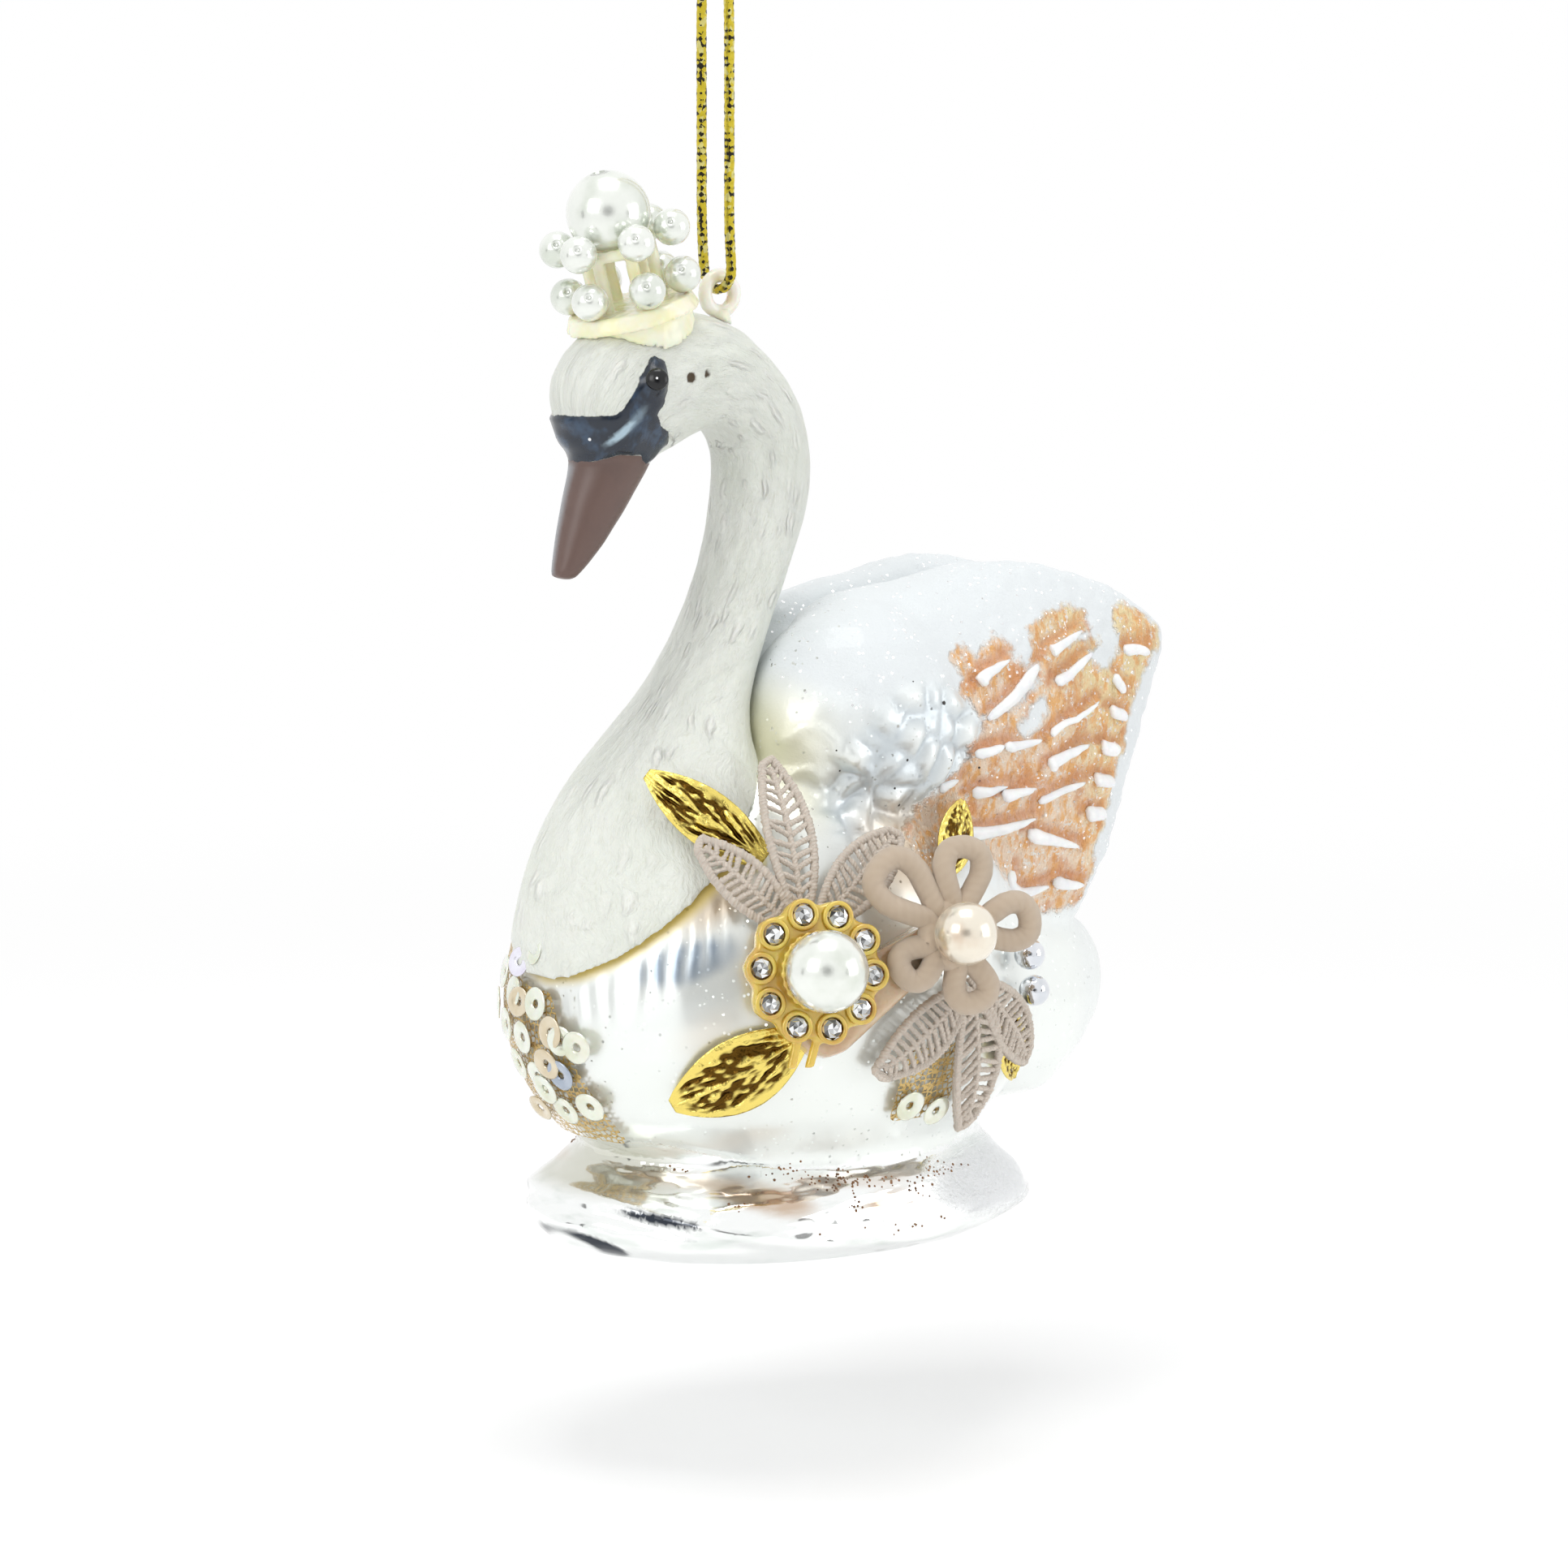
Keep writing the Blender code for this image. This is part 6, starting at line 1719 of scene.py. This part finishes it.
@dataclass
class CordFlower:
    """Five petals looped from one soft cord, round a pearl."""

    petals: tuple = ((9.0, 9.6), (80.0, 10.4), (137.0, 12.2), (213.0, 8.0), (285.0, 8.5))
    eye: float = 3.6
    radius: float = 1.40 * MM

    def build(self, frame: Matrix) -> None:
        """Builds the flower on the spray's plane."""
        route = []
        count = len(self.petals)
        for k, (bearing, reach) in enumerate(self.petals):
            after = self.petals[(k + 1) % count][0] + (360.0 if k == count - 1 else 0.0)
            for share, offset in (
                (0.0, -13.0), (0.28, -17.0), (0.66, -17.5), (0.93, -11.0), (1.0, 0.0),
                (0.93, 11.0), (0.66, 17.5), (0.28, 17.0), (0.0, 13.0),
            ):
                distance = self.eye + (reach - self.eye) * share
                turn = math.radians(bearing + offset)
                lift = 0.25 * math.sin(math.pi * share) * (1 if offset > 0 else -1)
                route.append(frame @ (polar(distance, turn, 1.0 + lift) * MM))
            turn = math.radians((bearing + after) / 2)
            distance = self.eye - 0.4
            route.append(frame @ (polar(distance, turn, 1.0) * MM))
        line = smooth_route(route, 5, closed=True)
        flower = piece_from_tubes("soutache_flower", [tube_mesh(line, lambda s: self.radius, 14, True)])
        push(flower, lumps(points_of(flower), 0.5 * MM, (1, 1, 1), 3) * 0.05 * MM)
        dress(flower, SOUTACHE, "flower_cord", "cord_flower")
        Pearls(48).build(["flower_pearl"], Vector((0.4, 0.1, 1.0)), BLUSH_PEARL)


class LeafBed:
    """The curved bed of one leaf, read from the solid that carries it."""

    def __init__(self, node: str, base: tuple, tip: tuple, half_width: float) -> None:
        """Fits the bed.

        Args:
            node: the leaf's or the sprig's CAD node.
            base: x and z of the leaf's root, in millimetres from the plinth's foot.
            tip: x and z of its tip.
            half_width: half the leaf's width in metres.
        """
        points = np.unique(points_of(bpy.data.objects[node]).round(7), axis=0)
        foot = np.array(PLINTH_FOOT)
        start = foot[[0, 2]] + np.array(base) * MM
        end = foot[[0, 2]] + np.array(tip) * MM
        run = end - start
        length = np.linalg.norm(run)
        along = run / length
        offset = points[:, [0, 2]] - start
        u = offset @ along / length
        v = (offset[:, 0] * along[1] - offset[:, 1] * along[0]) / half_width
        near = (u > -0.06) & (u < 1.06) & (np.abs(v) < 1.15)
        self.points = points[near]
        centre = self.points.mean(axis=0)
        _, _, axes = np.linalg.svd(self.points - centre)
        out = Vector(axes[2])
        self.out = out if out.y < 0 else -out
        self.base = self.flat_point(start, centre)
        self.tip = self.flat_point(end, centre)
        self.along = (self.tip - self.base).normalized()
        self.length = (self.tip - self.base).length
        self.side = self.along.cross(self.out).normalized()
        self.half_width = half_width
        local = np.array([
            (step.dot(self.along) / self.length, step.dot(self.side) / half_width, step.dot(self.out))
            for step in (Vector(point) - self.base for point in self.points)
        ])
        terms = np.column_stack([
            np.ones(len(local)), local[:, 0], local[:, 0] ** 2, local[:, 1], local[:, 1] ** 2
        ])
        self.fit, *_ = np.linalg.lstsq(terms, local[:, 2], rcond=None)

    def flat_point(self, spot: np.ndarray, centre: np.ndarray) -> Vector:
        """Returns the point of the bed's plane above an x and z."""
        dx, dz = spot[0] - centre[0], spot[1] - centre[2]
        y = centre[1] - (self.out.x * dx + self.out.z * dz) / self.out.y
        return Vector((spot[0], y, spot[1]))

    def reach(self, u: float) -> float:
        """Returns the leaf's half width at a share of its length, as a part of the widest."""
        return max(math.sin(math.pi * (0.09 + 0.87 * min(max(u, 0.0), 1.0))) ** 0.8, 0.10)

    def point(self, u: float, v: float, lift: float = 0.0) -> Vector:
        """Returns a point of the bed: u along it, v from -1 to 1 across it, lifted outwards."""
        across = v * self.reach(u)
        height = float(self.fit @ np.array([1.0, u, u * u, across, across * across]))
        spot = self.base + self.along * (u * self.length) + self.side * (across * self.half_width)
        return spot + self.out * (height + lift)


@dataclass
class Foliage:
    """Gold foil leaves and openwork lace leaves."""

    gold: tuple = (
        ((-18.0, 49.4), (-27.6, 59.4), 3.3), ((-17.6, 28.4), (-28.6, 20.4), 4.7),
        ((6.2, 46.2), (12.4, 54.0), 3.0), ((14.0, 28.4), (19.6, 19.2), 3.0),
    )
    upper: tuple = (
        ((-17.6, 42.4), (-25.0, 51.8), 2.8), ((-15.6, 44.0), (-13.4, 60.8), 3.0),
        ((-13.2, 43.0), (-0.8, 52.0), 3.2),
    )
    lower: tuple = (
        ((4.4, 32.0), (-7.4, 23.6), 3.4), ((6.6, 31.8), (9.8, 14.4), 4.0), ((8.8, 32.4), (18.8, 22.2), 3.2),
    )
    bars: int = 13

    def foil_leaf(self, index: int) -> None:
        """Builds one embossed foil leaf over its solid."""
        base, tip, half = self.gold[index]
        node = f"gold_leaf_{index + 1}"
        bed = LeafBed(node, base, tip, half * MM)
        rows, columns = 72, 37
        points, faces, folds = [], [], []
        for i in range(rows):
            u = i / (rows - 1)
            for j in range(columns):
                v = 2 * j / (columns - 1) - 1
                vein = math.exp(-((v / 0.06) ** 2))
                rim = min(1.0, max(0.0, (max(abs(v), 1.6 * abs(u - 0.5) + 0.12) - 0.66) / 0.16))
                fan = noise.noise(Vector((u * 9 - abs(v) * 6, v * 3, index * 7.0)))
                crumple = noise.noise(Vector((u * 15, v * 7, index + 3.0)))
                crease = fan + 0.7 * crumple
                inner = (1 - vein) * (1 - rim)
                height = 0.20 * vein + 0.12 * rim + inner * (0.55 * crease - 0.10) + 0.05 * crumple * rim
                points.append(bed.point(u, v, (0.12 + height) * MM))
                # Where the crease sinks, the shader paints a dark reflection.
                folds.append(inner * (0.50 - 1.5 * crease))
        for i in range(rows - 1):
            for j in range(columns - 1):
                a = i * columns + j
                faces.append((a, a + 1, a + columns + 1, a + columns))
        mesh = bpy.data.meshes.new("foil")
        mesh.from_pydata([tuple(p) for p in points], [], faces)
        piece = link_mesh(f"foil_leaf_{index + 1}", mesh)
        if Vector(normals_of(piece).mean(axis=0)).dot(bed.out) < 0:
            mesh.flip_normals()
        keep_values(piece, "folds", np.array(folds))
        apply_modifier(piece, "SOLIDIFY", thickness=0.22 * MM, offset=-1.0)
        smooth_shading(piece)
        dress(piece, FOIL, "gold_leaf", node)

    def lace_tubes(self, bed: LeafBed, seed: int) -> list[tuple]:
        """Returns the threads of one lace leaf."""
        chooser = random.Random(seed)

        def shake() -> float:
            """Returns a small uneven step."""
            return chooser.uniform(-0.06, 0.06) * MM

        tubes = []
        rim = [bed.point(u / 26, 0.93, shake()) for u in range(27)]
        rim += [bed.point(u / 26, -0.93, shake()) for u in range(25, -1, -1)]
        tubes.append(tube_mesh(smooth_route(rim, 3), lambda s: 0.52 * MM, 8, relief=self.ply))
        spine = [bed.point(u / 16, 0.0, shake()) for u in range(16)]
        tubes.append(tube_mesh(smooth_route(spine, 3), lambda s: 0.36 * MM, 8, relief=self.ply))
        for side in (-1, 1):
            for k in range(self.bars):
                u = 0.03 + 0.93 * k / self.bars
                slip = 0.06 + chooser.uniform(-0.03, 0.03)
                bar = []
                for t in (0.0, 0.25, 0.5, 0.75, 1.0):
                    arch = 0.12 * MM * math.sin(math.pi * t)
                    bar.append(bed.point(u + slip * t, side * (0.05 + 0.85 * t), arch + shake()))
                thick = chooser.uniform(0.27, 0.38) * MM
                tubes.append(tube_mesh(smooth_route(bar, 4), lambda s, r=thick: r, 7, relief=self.ply))
        return tubes

    @staticmethod
    def ply(along: float, share: float) -> float:
        """Returns the radius factor of a twisted, uneven thread."""
        twist = math.sin(2 * math.pi * (along * 1900.0 + share * 2))
        return 1.0 + 0.14 * twist + 0.08 * math.sin(along * 5300.0)

    def lace_sprig(self, name: str, node: str, leaves: tuple, seed: int) -> None:
        """Builds one sprig of three lace leaves and its stitched knot."""
        tubes = []
        roots = []
        for k, (base, tip, half) in enumerate(leaves):
            bed = LeafBed(node, base, tip, half * MM)
            tubes += self.lace_tubes(bed, seed + k)
            roots.append(bed.point(0.0, 0.0))
        centre = sum(roots, Vector()) / len(roots)
        out = bed.out
        side = out.orthogonal().normalized()
        rise = out.cross(side)
        for k in range(5):
            turn = math.pi * k / 5
            reach = (side * math.cos(turn) + rise * math.sin(turn)) * 2.2 * MM
            loop = [centre - reach, centre - reach * 0.5 + out * 0.5 * MM, centre + out * 0.7 * MM,
                    centre + reach * 0.5 + out * 0.5 * MM, centre + reach]
            tubes.append(tube_mesh(smooth_route(loop, 4), lambda s: 0.42 * MM, 8, relief=self.ply))
        sprig = piece_from_tubes(name, tubes)
        push(sprig, lumps(points_of(sprig), 0.35 * MM, (1, 1, 1), 3) * 0.05 * MM)
        dress(sprig, LACE, "guipure_lace", node)

    def build(self) -> None:
        """Builds all the leaves."""
        for index in range(len(self.gold)):
            self.foil_leaf(index)
        self.lace_sprig("lace_spray_upper", "upper_lace_sprig", self.upper, 20)
        self.lace_sprig("lace_spray_lower", "lower_lace_sprig", self.lower, 40)


@dataclass
class SequinPatches:
    """Gold net with sewn sequins on the breast and the flank, and two silver beads."""

    radius: float = 2.0 * MM
    thickness: float = 0.14 * MM
    cup: tuple = ((0.90, 0.10), (0.62, 0.0), (0.40, -0.10), (0.25, -0.12))
    breast: int = 12
    flank: int = 2
    blue: int = 7
    loose: tuple = (
        ((-25.6, 4.6, -129.4), (-1.0, -0.5, 0.3), 0.9, "lilac"),
        ((-25.4, -4.5, -137.3), (-0.8, -0.7, 0.1), 0.9, "pale"),
        ((-26.6, -3.0, -136.6), (-1.0, 0.1, 0.2), 1.0, "beige"),
        ((-25.9, -1.5, -140.4), (-1.0, -0.1, -0.3), 1.0, "beige"),
        ((-24.6, 0.0, -143.6), (-0.9, -0.3, -0.3), 1.0, "pale"),
        ((-27.0, 1.5, -127.2), (-1.0, 0.3, 0.3), 0.9, "pale"),
        ((-23.9, 3.0, -134.2), (-0.8, -0.6, 0.1), 0.9, "beige"),
        ((-22.6, 4.5, -147.0), (-0.8, -0.3, -0.6), 0.9, "beige"),
    )

    def sequin_model(self) -> Piece:
        """Returns one cupped sequin with its sewing hole."""
        bpy.ops.mesh.primitive_circle_add(vertices=40, radius=self.radius, fill_type="NOTHING")
        disc = bpy.context.object
        bpy.ops.object.mode_set(mode="EDIT")
        bpy.ops.mesh.select_all(action="SELECT")
        before = 1.0
        for reach, drop in self.cup:
            bpy.ops.mesh.extrude_edges_move(TRANSFORM_OT_translate={"value": (0.0, 0.0, drop * 0.9 * MM)})
            bpy.ops.transform.resize(value=(reach / before, reach / before, 1.0))
            before = reach
        bpy.ops.mesh.select_all(action="SELECT")
        bpy.ops.mesh.normals_make_consistent(inside=False)
        bpy.ops.object.mode_set(mode="OBJECT")
        apply_modifier(disc, "SOLIDIFY", thickness=self.thickness, offset=0.0)
        return settle(disc)

    def build_net(self, name: str, node: str) -> None:
        """Builds one patch of net as the outer face of its solid."""
        piece = solid_copy(node, name)
        glass = search_tree(bpy.data.objects["glass_body"])
        bm = bmesh.new()
        bm.from_mesh(piece.data)
        bm.normal_update()
        inner = []
        for face in bm.faces:
            centre = face.calc_center_median()
            found = glass.find_nearest(centre)
            if face.normal.dot((centre - found[0]).normalized()) < 0.5:
                inner.append(face)
        bmesh.ops.delete(bm, geom=inner, context="FACES")
        area = sum(face.calc_area() for face in bm.faces)
        bm.to_mesh(piece.data)
        bm.free()
        apply_modifier(piece, "SUBSURF", levels=2, render_levels=2)
        smooth_shading(piece)
        dress(piece, NET, "gold_tulle", node)

    def build(self) -> None:
        """Builds the nets, sequins and beads."""
        self.build_net("breast_net", "breast_tulle")
        self.build_net("flank_net", "flank_tulle")
        master = self.sequin_model()
        names = [f"breast_sequin_{k + 1}" for k in range(self.breast)]
        names += [f"flank_sequin_{k + 1}" for k in range(self.flank)]
        for k, node in enumerate(names):
            facing = Vector((-1.0, -0.2, 0.0)) if node.startswith("breast") else Vector((0.0, -1.0, 0.0))
            sequin = copy_piece(master, "dressed_" + node, node_matrix(node, facing))
            dress(sequin, SEQUIN_BLUE if k == self.blue else SEQUIN_PALE, "sequin", node)
        glass = search_tree(bpy.data.objects["glass_body"])
        finishes = {"lilac": LILAC, "pale": SEQUIN_PALE, "beige": BEIGE}
        for k, (spot, facing, size, tint) in enumerate(self.loose):
            place, normal, _, _ = glass.find_nearest(Vector(spot) * MM)
            outward = (normal * 2.0 + Vector(facing)).normalized()
            turn = turn_to(outward)
            matrix = Matrix.Translation(place + normal * 1.5 * MM) @ turn
            matrix @= Matrix.Diagonal((size, size, 1.0, 1.0))
            dress(copy_piece(master, f"loose_sequin_{k + 1}", matrix), finishes[tint], "sequin")
        bpy.data.objects.remove(master)
        Pearls(36).build(["silver_bead_1", "silver_bead_2"], Vector((0.2, -0.3, 1.0)), CHROME)


def spray_matrix() -> Matrix:
    """Returns the spray's plane at the flower's middle: a given bearing and tilt, set below the flower's
    pearl.
    """
    bearing, tilt = math.radians(-110.5), math.radians(9.0)
    outward = polar(math.cos(tilt), bearing, math.sin(tilt))
    across = Vector((0.0, 0.0, 1.0)).cross(outward).normalized()
    up = outward.cross(across)
    turn = Matrix((across, up, outward)).transposed().to_4x4()
    radius, cord, eye, gap = 3.8 * MM, 1.0 * MM, 3.2 * MM, 0.3 * MM
    rise = cord + math.sqrt((radius + cord + gap) ** 2 - eye**2)
    return Matrix.Translation(middle("flower_pearl") - outward * rise) @ turn


def main() -> None:
    """Loads the frame and builds the ornament piece by piece."""
    logging.basicConfig(level=logging.INFO, format="%(name)s %(message)s")
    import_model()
    Studio().build()
    HangingCord().build()
    glass = GlassSwan().build()
    WingDetails().build(glass)
    NeckAndHead().build()
    Crown().build()
    Brooch().build()
    CordFlower().build(spray_matrix())
    Foliage().build()
    SequinPatches().build()
    pad = soften(solid_copy("glue_pad", "glue_bed"), 0.35 * MM, 8)
    dress(pad, GLUE, "set_glue", "glue_pad")


if __name__ == "__main__":
    main()
